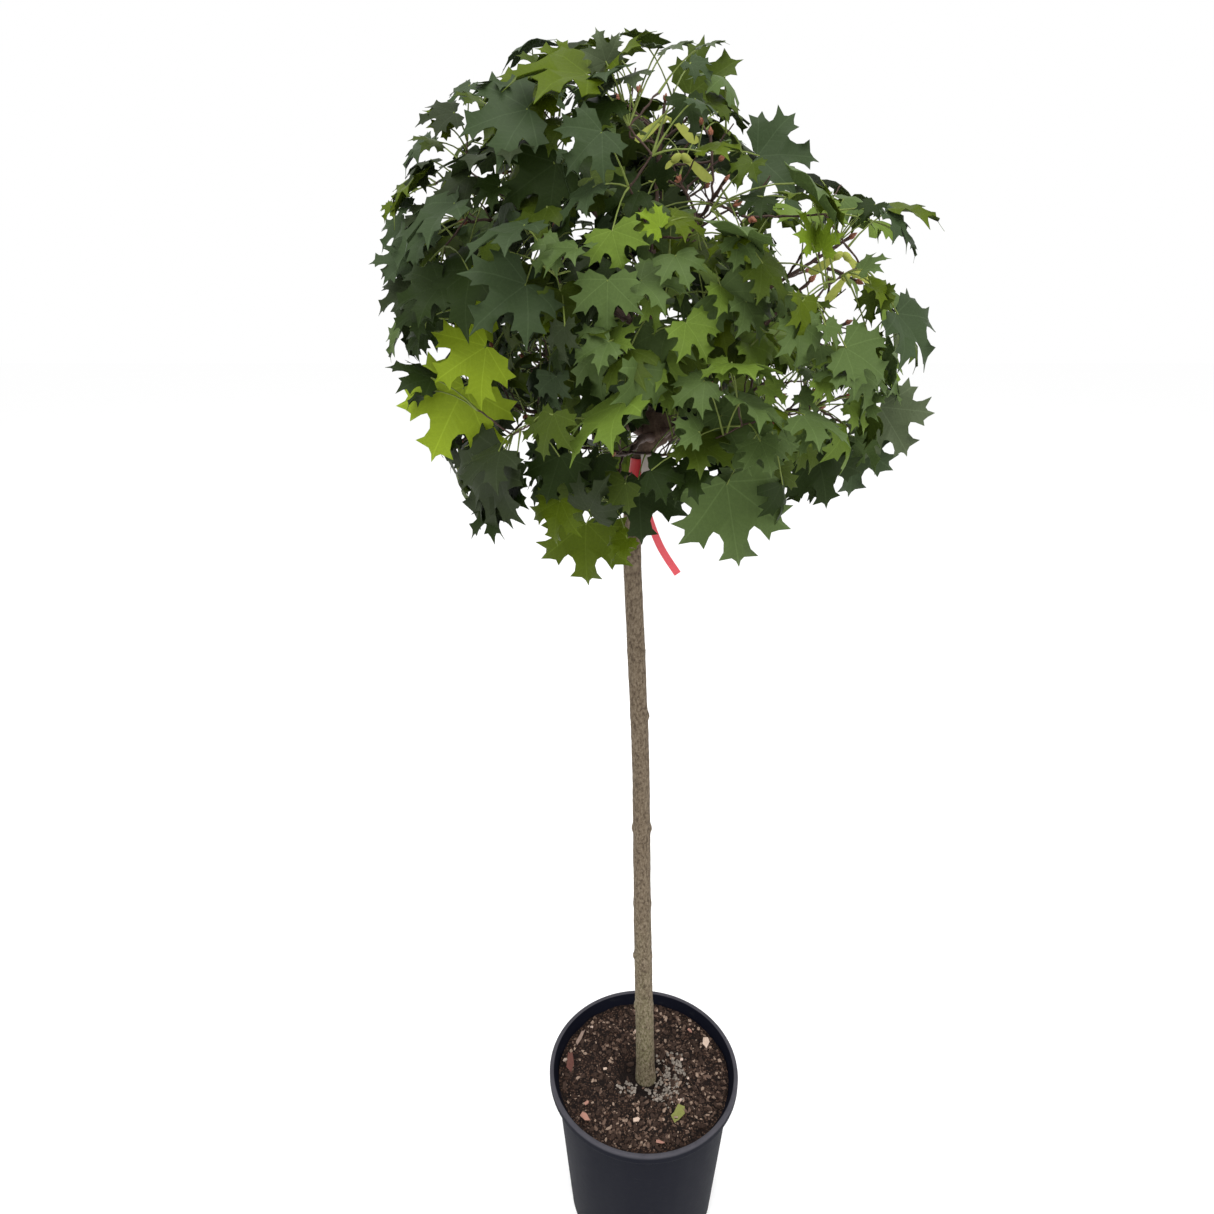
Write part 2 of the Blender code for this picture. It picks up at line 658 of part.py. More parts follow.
def soil_height(x, y):
    """The soil's uneven top, with a dip round the trunk's foot."""
    radius = math.hypot(x, y)
    if radius <= FOOT_DISC:
        return FOOT_LEVEL
    share = min((radius - FOOT_DISC) / (DIP_RADIUS - FOOT_DISC), 1.0)
    rise = share * share * (3.0 - 2.0 * share)
    uneven = math.sin(47.0 * x + 1.3) * math.cos(39.0 * y - 0.6) + 0.6 * math.sin(83.0 * (x + y))
    return FOOT_LEVEL + (SOIL_TOP - FOOT_LEVEL) * rise + SOIL_RELIEF * uneven * rise


def build_soil(finish, parent):
    """The filling of the pot, 0.3 mm clear of its wall and floor."""
    edge = inner_radius(SOIL_TOP) - GAP
    rings = (FOOT_DISC, DIP_RADIUS) + SOIL_RINGS + (edge,)
    low_edge = inner_radius(POT_FLOOR + GAP) - GAP
    low_height = POT_FLOOR + GAP
    profile = [(0.0, low_height), (low_edge, low_height)]
    profile += [(radius, SOIL_TOP) for radius in reversed(rings)] + [(0.0, FOOT_LEVEL)]
    mesh = revolve(profile, POT_SEGMENTS)
    for vert in mesh.verts:
        if vert.co.z > (SOIL_TOP + low_height) / 2:
            height = soil_height(vert.co.x, vert.co.y)
            if math.hypot(vert.co.x, vert.co.y) > edge - 1e-5:
                spread = (inner_radius(height) - GAP) / edge
                vert.co.x *= spread
                vert.co.y *= spread
            vert.co.z = height
    return add_object("soil", mesh, finish, parent, 50)


def along_stations(height):
    """The trunk's sideways place and radius at a height, smooth between its stations."""
    stations = TRUNK_STATIONS
    for number in range(len(stations) - 1):
        low, high = stations[number], stations[number + 1]
        if height <= high[0] or number == len(stations) - 2:
            share = (height - low[0]) / (high[0] - low[0])
            share = max(0.0, min(1.0, share))
            before = stations[max(number - 1, 0)]
            after = stations[min(number + 2, len(stations) - 1)]
            slope_low = (high[1] - before[1]) / (high[0] - before[0])
            slope_high = (after[1] - low[1]) / (after[0] - low[0])
            span = high[0] - low[0]
            a, b = share, 1.0 - share
            x = (
                (1 + 2 * a) * b * b * low[1] + a * a * (3 - 2 * a) * high[1]
                + span * a * b * (b * slope_low - a * slope_high))
            return x, low[2] + (high[2] - low[2]) * share
    return stations[-1][1], stations[-1][2]


def trunk_heights():
    """Ring heights: even steps, and three close rings at each knot."""
    steps = round((HEAD_BASE - TRUNK_FOOT) / TRUNK_RING_STEP)
    heights = set(ramp(TRUNK_FOOT, TRUNK_STATIONS[-1][0], steps))
    heights = {
        height for height in heights
        if all(abs(height - knot) > 1.6 * KNOT_SPAN for knot in KNOT_HEIGHTS)}
    for knot in KNOT_HEIGHTS:
        heights |= {knot - KNOT_SPAN, knot, knot + KNOT_SPAN}
    heights.add(TRUNK_STATIONS[1][0])
    return sorted(heights)


def trunk_x(height):
    """The trunk's sideways place at a height between two of its rings."""
    rings = trunk_heights()
    low = max(ring for ring in rings if ring <= height)
    high = min(ring for ring in rings if ring > height)
    share = (height - low) / (high - low)
    return along_stations(low)[0] * (1.0 - share) + along_stations(high)[0] * share


def trunk_mesh():
    """The trunk with its flared foot, its knots and the swollen head of the graft."""
    path, radii = [], []
    for height in trunk_heights():
        x, radius = along_stations(height)
        if any(abs(height - knot) < 1e-9 for knot in KNOT_HEIGHTS):
            radius *= 1.0 + KNOT_SWELL
        path.append(Vector((x, 0.0, height)))
        radii.append(radius)
    last_x = TRUNK_STATIONS[-1][1]
    for rise, radius in zip(HEAD_RISE, HEAD_RADII):
        shift = HEAD_SHIFT * min(1.0, HEAD_LEAN + rise / HEAD_RISE[2])
        path.append(Vector((last_x + shift, 0.0, HEAD_BASE + rise)))
        radii.append(radius)
    verts = []
    for point, radius in zip(path, radii):
        verts += [point + spoke * radius for spoke in unit_ring(UP, TRUNK_SIDES)]
    _, faces = tube(path, radii, TRUNK_SIDES)
    return verts, faces


def leader_x(height):
    """The leader's sideways place at a height: a slight sway."""
    base = HEAD_BASE + HEAD_RISE[-1] + GAP
    share = (height - base) / (LEADER_TOP - base)
    return HEAD_X - LEADER_SWAY * math.sin(math.pi * share) - LEADER_LEAN * share


def leader_mesh():
    """The upright shoot that stands on the head."""
    base = HEAD_BASE + HEAD_RISE[-1] + GAP
    heights = ramp(base, LEADER_TOP, LEADER_RINGS)
    radii = ramp(LEADER_BASE_RADIUS, LEADER_TIP_RADIUS, LEADER_RINGS)
    verts = []
    path = [Vector((leader_x(height), 0.0, height)) for height in heights]
    for point, radius in zip(path, radii):
        verts += [point + spoke * radius for spoke in unit_ring(UP, LEADER_SIDES)]
    _, faces = tube(path, radii, LEADER_SIDES)
    return verts, faces, path[-1]


def label_band():
    """A low ring round the trunk, as points and faces."""
    inner = TRUNK_STATIONS[-1][2] + LABEL_ROOM
    verts, faces = [], []
    for height in (LABEL_LOW, LABEL_LOW + LABEL_HEIGHT):
        centre = Vector((trunk_x(height), 0.0, height))
        for radius in (inner, inner + LABEL_THICKNESS):
            verts += [centre + spoke * radius for spoke in unit_ring(UP, LABEL_SIDES)]
    loops = [number * LABEL_SIDES for number in (0, 1, 3, 2)]
    for side in range(LABEL_SIDES):
        after = (side + 1) % LABEL_SIDES
        for low, high in zip(loops, loops[1:] + loops[:1]):
            faces.append((low + side, low + after, high + after, high + side))
    return verts, faces


def label_tail():
    """A flat strip that hangs from the front of the ring, as points and faces."""
    inner = TRUNK_STATIONS[-1][2] + LABEL_ROOM
    front = Vector((
        trunk_x(LABEL_LOW) + LABEL_TAIL_SHIFT, -inner - LABEL_THICKNESS * 0.75,
        LABEL_LOW + LABEL_HEIGHT / 2))
    hang = [front] + [front + Vector(step) for step in LABEL_TAIL_RUN]
    verts = []
    for number, point in enumerate(hang):
        along = (hang[min(number + 1, len(hang) - 1)] - hang[max(number - 1, 0)]).normalized()
        across = along.cross(LABEL_TAIL_FACING).normalized() * LABEL_TAIL_WIDTH / 2
        through = across.cross(along).normalized() * LABEL_THICKNESS / 2
        verts += [
            point - across - through, point + across - through,
            point + across + through, point - across + through]
    faces = [(3, 2, 1, 0), tuple(range(len(verts) - 4, len(verts)))]
    for low in range(0, len(verts) - 4, 4):
        for side in range(4):
            after = (side + 1) % 4
            faces.append((low + side, low + after, low + 4 + after, low + 4 + side))
    return verts, faces


def build_label(finish, parent):
    """A plain strip looped round the trunk, with its end hanging free."""
    band = add_object("label", as_bmesh(*label_band()), finish, parent)
    join(band, [add_object("label_tail", as_bmesh(*label_tail()), finish, None)])


def loose_pieces(mesh):
    """The separate pieces of a bmesh as sets of points, smallest first."""
    left = set(mesh.verts)
    pieces = []
    while left:
        stack = [left.pop()]
        piece = set(stack)
        while stack:
            for edge in stack.pop().link_edges:
                for vert in edge.verts:
                    if vert in left:
                        left.remove(vert)
                        piece.add(vert)
                        stack.append(vert)
        pieces.append(piece)
    return sorted(pieces, key=len)


def fused_mesh(base, group, solver):
    """The union of an object with a collection, and whether it is one sound closed piece."""
    union = base.modifiers.new("union", "BOOLEAN")
    union.operation = "UNION"
    union.operand_type = "COLLECTION"
    union.collection = group
    union.solver = solver
    graph = bpy.context.evaluated_depsgraph_get()
    fused = bpy.data.meshes.new_from_object(base.evaluated_get(graph))
    base.modifiers.remove(union)
    mesh = bmesh.new()
    mesh.from_mesh(fused)
    bmesh.ops.remove_doubles(mesh, verts=mesh.verts[:], dist=CLOSE_POINTS)
    bmesh.ops.dissolve_degenerate(mesh, edges=mesh.edges[:], dist=CLOSE_POINTS / 4)
    pieces = loose_pieces(mesh)
    scraps = [vert for piece in pieces[:-1] for vert in piece]
    bmesh.ops.delete(mesh, geom=scraps, context="VERTS")
    sound = all(len(edge.link_faces) == 2 for edge in mesh.edges)
    whole = all(len(piece) < SMALLEST_PLATE for piece in pieces[:-1])
    mesh.to_mesh(fused)
    mesh.free()
    return fused, sound and whole


def join(base, others):
    """Fuse others into one object by a Boolean union on their collection, and remove them."""
    group = bpy.data.collections.new(base.name + "_parts")
    bpy.context.scene.collection.children.link(group)
    for other in others:
        group.objects.link(other)
        bpy.context.scene.collection.objects.unlink(other)
    for solver in ("EXACT", "MANIFOLD"):
        fused, good = fused_mesh(base, group, solver)
        if good:
            break
    old = base.data
    base.data = fused
    bpy.data.meshes.remove(old)
    for other in others:
        bpy.data.meshes.remove(other.data)
    bpy.data.collections.remove(group)
    print(base.name, "is made of", len(others) + 1, "pieces by", solver, "" if good else "AND IS NOT SOUND")


def build_mass(mass, crown, finish, parent):
    """One mass: its stem fused with its side twigs, leaves and winged seeds."""
    twigs = crown.twigs[mass.name]
    base = add_object("foliage_" + mass.name, as_bmesh(*twigs[0].mesh()), finish, parent)
    parts = [twig.mesh() for twig in twigs[1:]] + crown.plates[mass.name]
    others = []
    for number, (verts, faces) in enumerate(parts):
        name = f"{mass.name}_part_{number}"
        others.append(add_object(name, as_bmesh(verts, faces), finish, None))
    join(base, others)


def main():
    """Clear the scene and build the whole plant."""
    for old in list(bpy.data.objects):
        bpy.data.objects.remove(old)
    root = bpy.data.objects.new("potted_maple", None)
    bpy.context.scene.collection.objects.link(root)

    charcoal = material("pot", (0.030, 0.031, 0.035), 0.45)
    compost = material("soil", (0.045, 0.026, 0.018), 0.95)
    bark = material("bark", (0.200, 0.165, 0.120), 0.85)
    shoot = material("shoot", (0.110, 0.060, 0.045), 0.70)
    leaf = material("foliage", (0.055, 0.110, 0.040), 0.60)
    red = material("label", (0.480, 0.010, 0.014), 0.45)

    build_pot(charcoal, root)
    build_soil(compost, root)
    trunk = trunk_mesh()
    add_object("trunk", as_bmesh(*trunk), bark, root, 50)
    leader_verts, leader_faces, leader_tip = leader_mesh()
    add_object("leader", as_bmesh(leader_verts, leader_faces), shoot, root, 50)
    build_label(red, root)

    crown = Crown({
        "trunk": BVHTree.FromPolygons(*trunk),
        "leader": BVHTree.FromPolygons(leader_verts, leader_faces),
        "leader_tip": leader_tip,
    })
    crown.clearance.add(*trunk)
    crown.clearance.add(leader_verts, leader_faces)
    crown.grow()
    for mass in MASSES:
        bough = crown.boughs[mass.name]
        if bough is not None:
            add_object("bough_" + mass.name, as_bmesh(bough[0], bough[1]), shoot, root, 50)
    for mass in MASSES:
        build_mass(mass, crown, leaf, root)


main()
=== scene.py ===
"""A potted Norway maple: bark, leaves, winged seeds, compost and a nursery pot.

Metres, +Z up, seen from -Y. The crown grows by the same seeded rule as its solids and is then
carried to finer twigs. Each kind of thing is joined into one piece that rides on the one body.
"""

import json
import logging
import math
import random
from dataclasses import dataclass, replace
from enum import Enum
from typing import Any, Callable, Sequence

import bmesh
import bpy
from bpy.types import Collection, Material, Node, NodeSocket, NodeTree, Object
from mathutils import Euler, Matrix, Quaternion, Vector, noise
from mathutils.bvhtree import BVHTree
from mathutils.geometry import delaunay_2d_cdt

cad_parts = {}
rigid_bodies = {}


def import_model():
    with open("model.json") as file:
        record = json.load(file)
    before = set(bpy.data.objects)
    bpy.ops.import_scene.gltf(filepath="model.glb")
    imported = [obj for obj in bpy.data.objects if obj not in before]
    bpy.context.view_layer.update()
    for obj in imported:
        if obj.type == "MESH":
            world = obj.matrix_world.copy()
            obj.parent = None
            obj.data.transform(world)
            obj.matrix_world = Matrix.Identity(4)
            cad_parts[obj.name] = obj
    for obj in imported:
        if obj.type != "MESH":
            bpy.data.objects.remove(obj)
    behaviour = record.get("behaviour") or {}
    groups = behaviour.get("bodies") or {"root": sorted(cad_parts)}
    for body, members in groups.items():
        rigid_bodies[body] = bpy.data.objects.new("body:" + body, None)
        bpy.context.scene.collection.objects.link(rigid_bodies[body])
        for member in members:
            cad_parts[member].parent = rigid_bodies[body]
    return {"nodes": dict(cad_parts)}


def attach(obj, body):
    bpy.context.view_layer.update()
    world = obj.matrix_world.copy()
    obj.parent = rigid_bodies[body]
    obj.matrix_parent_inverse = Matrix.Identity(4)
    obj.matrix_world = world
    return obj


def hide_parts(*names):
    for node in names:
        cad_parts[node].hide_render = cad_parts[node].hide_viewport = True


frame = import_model()

LOG = logging.getLogger("potted_maple")
Pair = tuple[float, float]
Triple = tuple[float, float, float]
Mesh = tuple[list[Vector], list[tuple[int, ...]]]
Inputs = dict[int | str, Any]

UP = Vector((0.0, 0.0, 1.0))
VIEW = Vector((-0.10, -1.0, 0.30)).freeze()
SKY = Vector((0.0, -0.35, 1.0))
HIGH = Vector((0.05, -0.75, 0.70)).freeze()
EVEN = (1.0, 1.0, 1.0)
FULL_TURN = 2.0 * math.pi
GAP = 0.0003
BODY = "root"


class Slot(Enum):
    """The record's material slots."""

    POT = "pot"
    SOIL = "soil"
    BARK = "bark"
    SHOOT = "shoot"
    FOLIAGE = "foliage"
    LABEL = "label"


class Tint(Enum):
    """The plain colours that are dealt out to leaves, leaf by leaf; some of them are painted sheen, glow or
    shade.
    """

    # Painted sheen: the grey-blue reflection of the sky on leaves that face up.
    SLATE = (0.026, 0.041, 0.016)
    SAGE = (0.052, 0.080, 0.022)
    MEADOW = (0.076, 0.116, 0.016)
    FRESH = (0.100, 0.150, 0.010)
    MOSS = (0.033, 0.050, 0.004)
    # Painted shade: SHADE, DARK and DEEP darken leaves that lie in the crown's shadow, DEEP the innermost.
    SHADE = (0.016, 0.023, 0.008)
    DARK = (0.011, 0.020, 0.003)
    DEEP = (0.003, 0.006, 0.002)
    # Painted light: the glow of light shining through backlit leaves.
    OLIVE = (0.048, 0.070, 0.002)
    LIME = (0.150, 0.205, 0.010)
    # Painted sheen, greyer than SLATE.
    ASH = (0.054, 0.070, 0.034)


class Value:
    """A socket of a node tree that Python operators turn into Math nodes."""

    def __init__(self, graph: "Graph", socket: NodeSocket) -> None:
        """Keep the socket and its graph."""
        self.graph, self.socket = graph, socket

    def op(self, operation: str, other: Any = 0.0, swap: bool = False) -> "Value":
        """Apply a Math node to this value and another, or the other way round."""
        first, second = (other, self) if swap else (self, other)
        return self.graph.make("ShaderNodeMath", {0: first, 1: second}, operation=operation)

    def __add__(self, other: Any) -> "Value":
        """Add."""
        return self.op("ADD", other)

    def __sub__(self, other: Any) -> "Value":
        """Subtract."""
        return self.op("SUBTRACT", other)

    def __rsub__(self, other: Any) -> "Value":
        """Subtract from a number."""
        return self.op("SUBTRACT", other, True)

    def __mul__(self, other: Any) -> "Value":
        """Multiply."""
        return self.op("MULTIPLY", other)

    __radd__, __rmul__ = __add__, __mul__


class Graph:
    """A node tree, with one method that adds a node of any kind."""

    def __init__(self, tree: NodeTree) -> None:
        """Keep the tree."""
        self.tree = tree

    def add(self, kind: str, inputs: Inputs | None = None, **settings: Any) -> Node:
        """Add a node.

        Args:
            kind: The node's type.
            inputs: Values or links of its sockets, by number or name.
            settings: Its properties, which are set first.

        Returns:
            The node.
        """
        node = self.tree.nodes.new(kind)
        for name, setting in settings.items():
            setattr(node, name, setting)
        self.feed(node, inputs or {})
        return node

    def feed(self, node: Node, inputs: Inputs) -> None:
        """Give a node's sockets, by number or name, their values or links."""
        for key, value in inputs.items():
            socket = self.find(node.inputs, key)
            if isinstance(value, Value):
                self.tree.links.new(value.socket, socket)
            else:
                socket.default_value = value

    @staticmethod
    def find(sockets: Any, key: int | str | None) -> NodeSocket:
        """Return a socket by its number, or the first one in use, of a name if there is one."""
        if isinstance(key, int):
            return sockets[key]
        return next(socket for socket in sockets if socket.enabled and key in (None, socket.name))

    def out(self, node: Node, key: str | None = None) -> Value:
        """Return a node's output as a value."""
        return Value(self, self.find(node.outputs, key))

    def make(self, kind: str, inputs: Inputs | None = None, **settings: Any) -> Value:
        """Add a node and return its first output."""
        return self.out(self.add(kind, inputs, **settings))


class Surface(Graph):
    """A material's tree, with the few patterns that the finishes share."""

    def place(self, stretch: Triple) -> Value:
        """Return Object coordinates, scaled along each axis."""
        coordinates = self.out(self.add("ShaderNodeTexCoord"), "Object")
        return self.make("ShaderNodeMapping", {"Vector": coordinates, "Scale": stretch})

    def noise(self, scale: float, detail: float = 3.0, stretch: Triple = EVEN) -> Value:
        """Return a soft pattern from 0 to 1."""
        return self.make("ShaderNodeTexNoise", {
            "Vector": self.place(stretch), "Scale": scale, "Detail": detail, "Roughness": 0.6})

    def grains(self, scale: float, stretch: Triple = EVEN) -> Value:
        """Return the distance to the nearest of many scattered points."""
        return self.make("ShaderNodeTexVoronoi", {"Vector": self.place(stretch), "Scale": scale})

    def step(self, value: Value, low: float, high: float) -> Value:
        """Return 0 below low and 1 above high, smooth between them."""
        return self.make("ShaderNodeMapRange", {0: value, 1: low, 2: high}, interpolation_type="SMOOTHSTEP")

    def axes(self, vector: Value | None = None) -> list[Value]:
        """Return the three parts of a vector, or else of Object coordinates."""
        split = self.add("ShaderNodeSeparateXYZ", {0: vector or self.place(EVEN)})
        return [self.out(split, axis) for axis in "XYZ"]

    def mix(self, share: Any, first: Any, second: Any) -> Value:
        """Mix two colours."""
        first, second = ((*part, 1.0) if isinstance(part, tuple) else part for part in (first, second))
        return self.make("ShaderNodeMix", {"Factor": share, "A": first, "B": second}, data_type="RGBA")

    def finish(self, colour: Value, roughness: Value, gloss: float, relief: Value, size: Pair) -> None:
        """Feed the shader.

        Args:
            colour: The base colour.
            roughness: The roughness.
            gloss: The level of the shine.
            relief: The height of the relief, from 0 to about 1.
            size: The relief's depth in metres, and its strength.
        """
        bump = self.make("ShaderNodeBump", {"Height": relief, "Distance": size[0], "Strength": size[1]})
        self.feed(self.tree.nodes["Principled BSDF"], {
            "Base Color": colour, "Roughness": roughness, "Specular IOR Level": gloss, "Normal": bump})


@dataclass(frozen=True)
class Finish:
    """A finish: its name, and the steps that every finish's material shares."""

    name: str

    def dress(self, surface: Surface) -> None:
        """Feed the shader."""
        raise NotImplementedError

    def make(self) -> Material:
        """Make the material."""
        material = bpy.data.materials.new(self.name)
        material.use_nodes = True
        self.dress(Surface(material.node_tree))
        return material


@dataclass(frozen=True)
class LeafFinish(Finish):
    """One side of a leaf: a plain colour, softly mottled, with paler veins along its lobes."""

    colour: Triple
    roughness: float = 0.50
    gloss: float = 0.07
    mottle: float = 0.28
    side_veins: tuple[Pair, ...] = ((0.745, 0.667), (0.998, 0.05))
    vein_width: float = 0.012
    vein_lift: float = 0.24
    ribs: float = 70.0

    def dress(self, surface: Surface) -> None:
        """Feed the shader."""
        place = surface.out(surface.add("ShaderNodeAttribute", attribute_name="leaf_place"), "Vector")
        x, up, _ = surface.axes(place)
        away = side = x.op("ABSOLUTE")
        for across, along in self.side_veins:
            away = away.op("MINIMUM", (side * along - up * across).op("ABSOLUTE"))
        reach = (side * side + up * up).op("SQRT")
        ribs = surface.step(((reach - away * 0.8) * self.ribs).op("SINE"), 0.35, 1.0)
        veins = 1.0 - surface.step(away, self.vein_width * 0.35, self.vein_width)
        fine, cloud = surface.noise(420.0, 2.0), surface.noise(16.0, 1.0)
        dark, light, pale = (
            tuple(part * scale + lift for part in self.colour)
            for scale, lift in ((1.0 - self.mottle, 0.0), (1.0 + self.mottle, 0.0), (1.9, 0.012)))
        colour = surface.mix(fine * 0.45 + cloud * 0.55, dark, light)
        colour = surface.mix((veins + ribs * 0.18) * self.vein_lift, colour, pale)
        relief = away.op("MINIMUM", 0.06) * 9.0 - ribs * 0.25 + surface.grains(340.0) * 0.4
        surface.finish(colour, self.roughness - 0.06 + fine * 0.12, self.gloss, relief, (0.0006, 0.35))


@dataclass(frozen=True)
class BarkFinish(Finish):
    """The trunk's bark: grey-brown, flecked pale and dark, greener at the foot, brown at the graft."""

    base: Triple = (0.100, 0.075, 0.049)
    pale: Triple = (0.190, 0.154, 0.110)
    dark: Triple = (0.036, 0.024, 0.015)
    green: Triple = (0.118, 0.108, 0.056)
    graft: Triple = (0.040, 0.021, 0.013)
    green_top: float = 0.75
    graft_low: float = 1.345

    def dress(self, surface: Surface) -> None:
        """Feed the shader."""
        height = surface.axes()[2]
        cloud = surface.noise(34.0, 4.0, (1.0, 1.0, 0.4))
        fleck = surface.noise(310.0, 3.0, (1.0, 1.0, 0.55))
        pores = surface.grains(230.0, (1.0, 1.0, 1.6))
        low = 1.0 - surface.step(height, 0.30, self.green_top)
        colour = surface.mix(low * (0.12 + surface.step(cloud, 0.35, 0.60) * 0.70), self.base, self.green)
        colour = surface.mix(surface.step(fleck, 0.48, 0.66) * (0.45 + low * 0.45), colour, self.pale)
        colour = surface.mix(surface.step(1.0 - fleck, 0.50, 0.66) * 0.80, colour, self.dark)
        colour = surface.mix((1.0 - surface.step(pores, 0.12, 0.26)) * 0.45, colour, self.dark)
        top = surface.step(height, self.graft_low, self.graft_low + 0.03)
        colour = surface.mix(top * 0.80, colour, self.graft)
        surface.finish(colour, 0.74 + fleck * 0.2, 0.2, fleck + pores * 0.6, (0.0008, 0.60))


@dataclass(frozen=True)
class ShootFinish(Finish):
    """Young wood: smooth and dark red-brown with small pale pores."""

    base: Triple = (0.072, 0.040, 0.028)
    shade: Triple = (0.024, 0.014, 0.011)
    pore: Triple = (0.160, 0.110, 0.075)

    def dress(self, surface: Surface) -> None:
        """Feed the shader."""
        streak = surface.noise(120.0, 3.0, (1.0, 1.0, 0.4))
        pores = 1.0 - surface.step(surface.grains(260.0), 0.10, 0.20)
        colour = surface.mix(pores * 0.7, surface.mix(streak, self.shade, self.base), self.pore)
        surface.finish(colour, 0.55 + streak * 0.2, 0.25, streak, (0.0005, 0.4))


@dataclass(frozen=True)
class TwoTone(Finish):
    """Two near colours in a fine grain with a low relief, for chips, seeds, stalks, strips and floor."""

    first: Triple
    second: Triple
    scale: float = 300.0
    roughness: float = 0.55
    gloss: float = 0.25
    relief: Pair = (0.0004, 0.35)

    def dress(self, surface: Surface) -> None:
        """Feed the shader."""
        grain = surface.noise(self.scale, 2.0)
        colour = surface.mix(grain, self.first, self.second)
        surface.finish(colour, self.roughness - 0.05 + grain * 0.1, self.gloss, grain, self.relief)


@dataclass(frozen=True)
class PotFinish(Finish):
    """Charcoal plastic: matt, faintly streaked by moulding, scuffed, and lighter on top of the rim, partly
    from wear and partly as a painted highlight.
    """

    base: Triple = (0.0036, 0.0042, 0.0085)
    worn: Triple = (0.018, 0.019, 0.022)
    rim: Triple = (0.078, 0.075, 0.086)
    dust: Triple = (0.016, 0.014, 0.012)
    rim_low: float = 0.3025
    lip_inside: float = 0.1558

    def dress(self, surface: Surface) -> None:
        """Feed the shader."""
        x, y, height = surface.axes()
        streak = surface.noise(26.0, 4.0, (1.0, 1.0, 0.12))
        scuff = surface.noise(90.0, 5.0, (0.5, 0.5, 1.6))
        # Painted highlight mixed with wear: the top of the rim, outside the lip's inner edge, is lightened.
        edge = surface.step((x * x + y * y).op("SQRT"), self.lip_inside - 0.0008, self.lip_inside)
        edge = edge * surface.step(height, self.rim_low, self.rim_low + 0.007)
        colour = surface.mix(edge * (0.35 + scuff * 0.6), self.base, self.rim)
        colour = surface.mix(surface.step(scuff, 0.58, 0.75) * 0.35, colour, self.worn)
        foot = 1.0 - surface.step(height, 0.0, 0.05)
        colour = surface.mix(foot * streak * 0.5, colour, self.dust)
        relief = surface.noise(700.0, 2.0) + streak * 0.4
        surface.finish(colour, 0.52 + streak * 0.14 + scuff * 0.10, 0.05, relief, (0.0003, 0.25))


@dataclass(frozen=True)
class CompostFinish(Finish):
    """Dark compost: crumbs of peat and composted bark, with painted shade darkening the dip round the trunk's
    foot.
    """

    deep: Triple = (0.006, 0.0035, 0.0028)
    crumb: Triple = (0.050, 0.027, 0.018)
    pale: Triple = (0.150, 0.095, 0.064)
    dip: float = 0.284

    def dress(self, surface: Surface) -> None:
        """Feed the shader."""
        crumbs, cloud = surface.grains(260.0), surface.noise(120.0, 4.0)
        colour = surface.mix(surface.step(cloud, 0.35, 0.70), self.deep, self.crumb)
        colour = surface.mix((1.0 - surface.step(crumbs, 0.10, 0.35)) * 0.5, colour, self.pale)
        colour = surface.mix(surface.step(crumbs, 0.40, 0.60) * 0.8, colour, self.deep)
        # Painted shade: the dip round the trunk's foot is darkened almost to black.
        dip = 1.0 - surface.step(surface.axes()[2], self.dip - 0.004, self.dip + 0.004)
        colour = surface.mix(dip * 0.9, colour, self.deep)
        surface.finish(colour, 0.85 + cloud * 0.12, 0.15, (1.0 - crumbs) + cloud, (0.0025, 0.9))


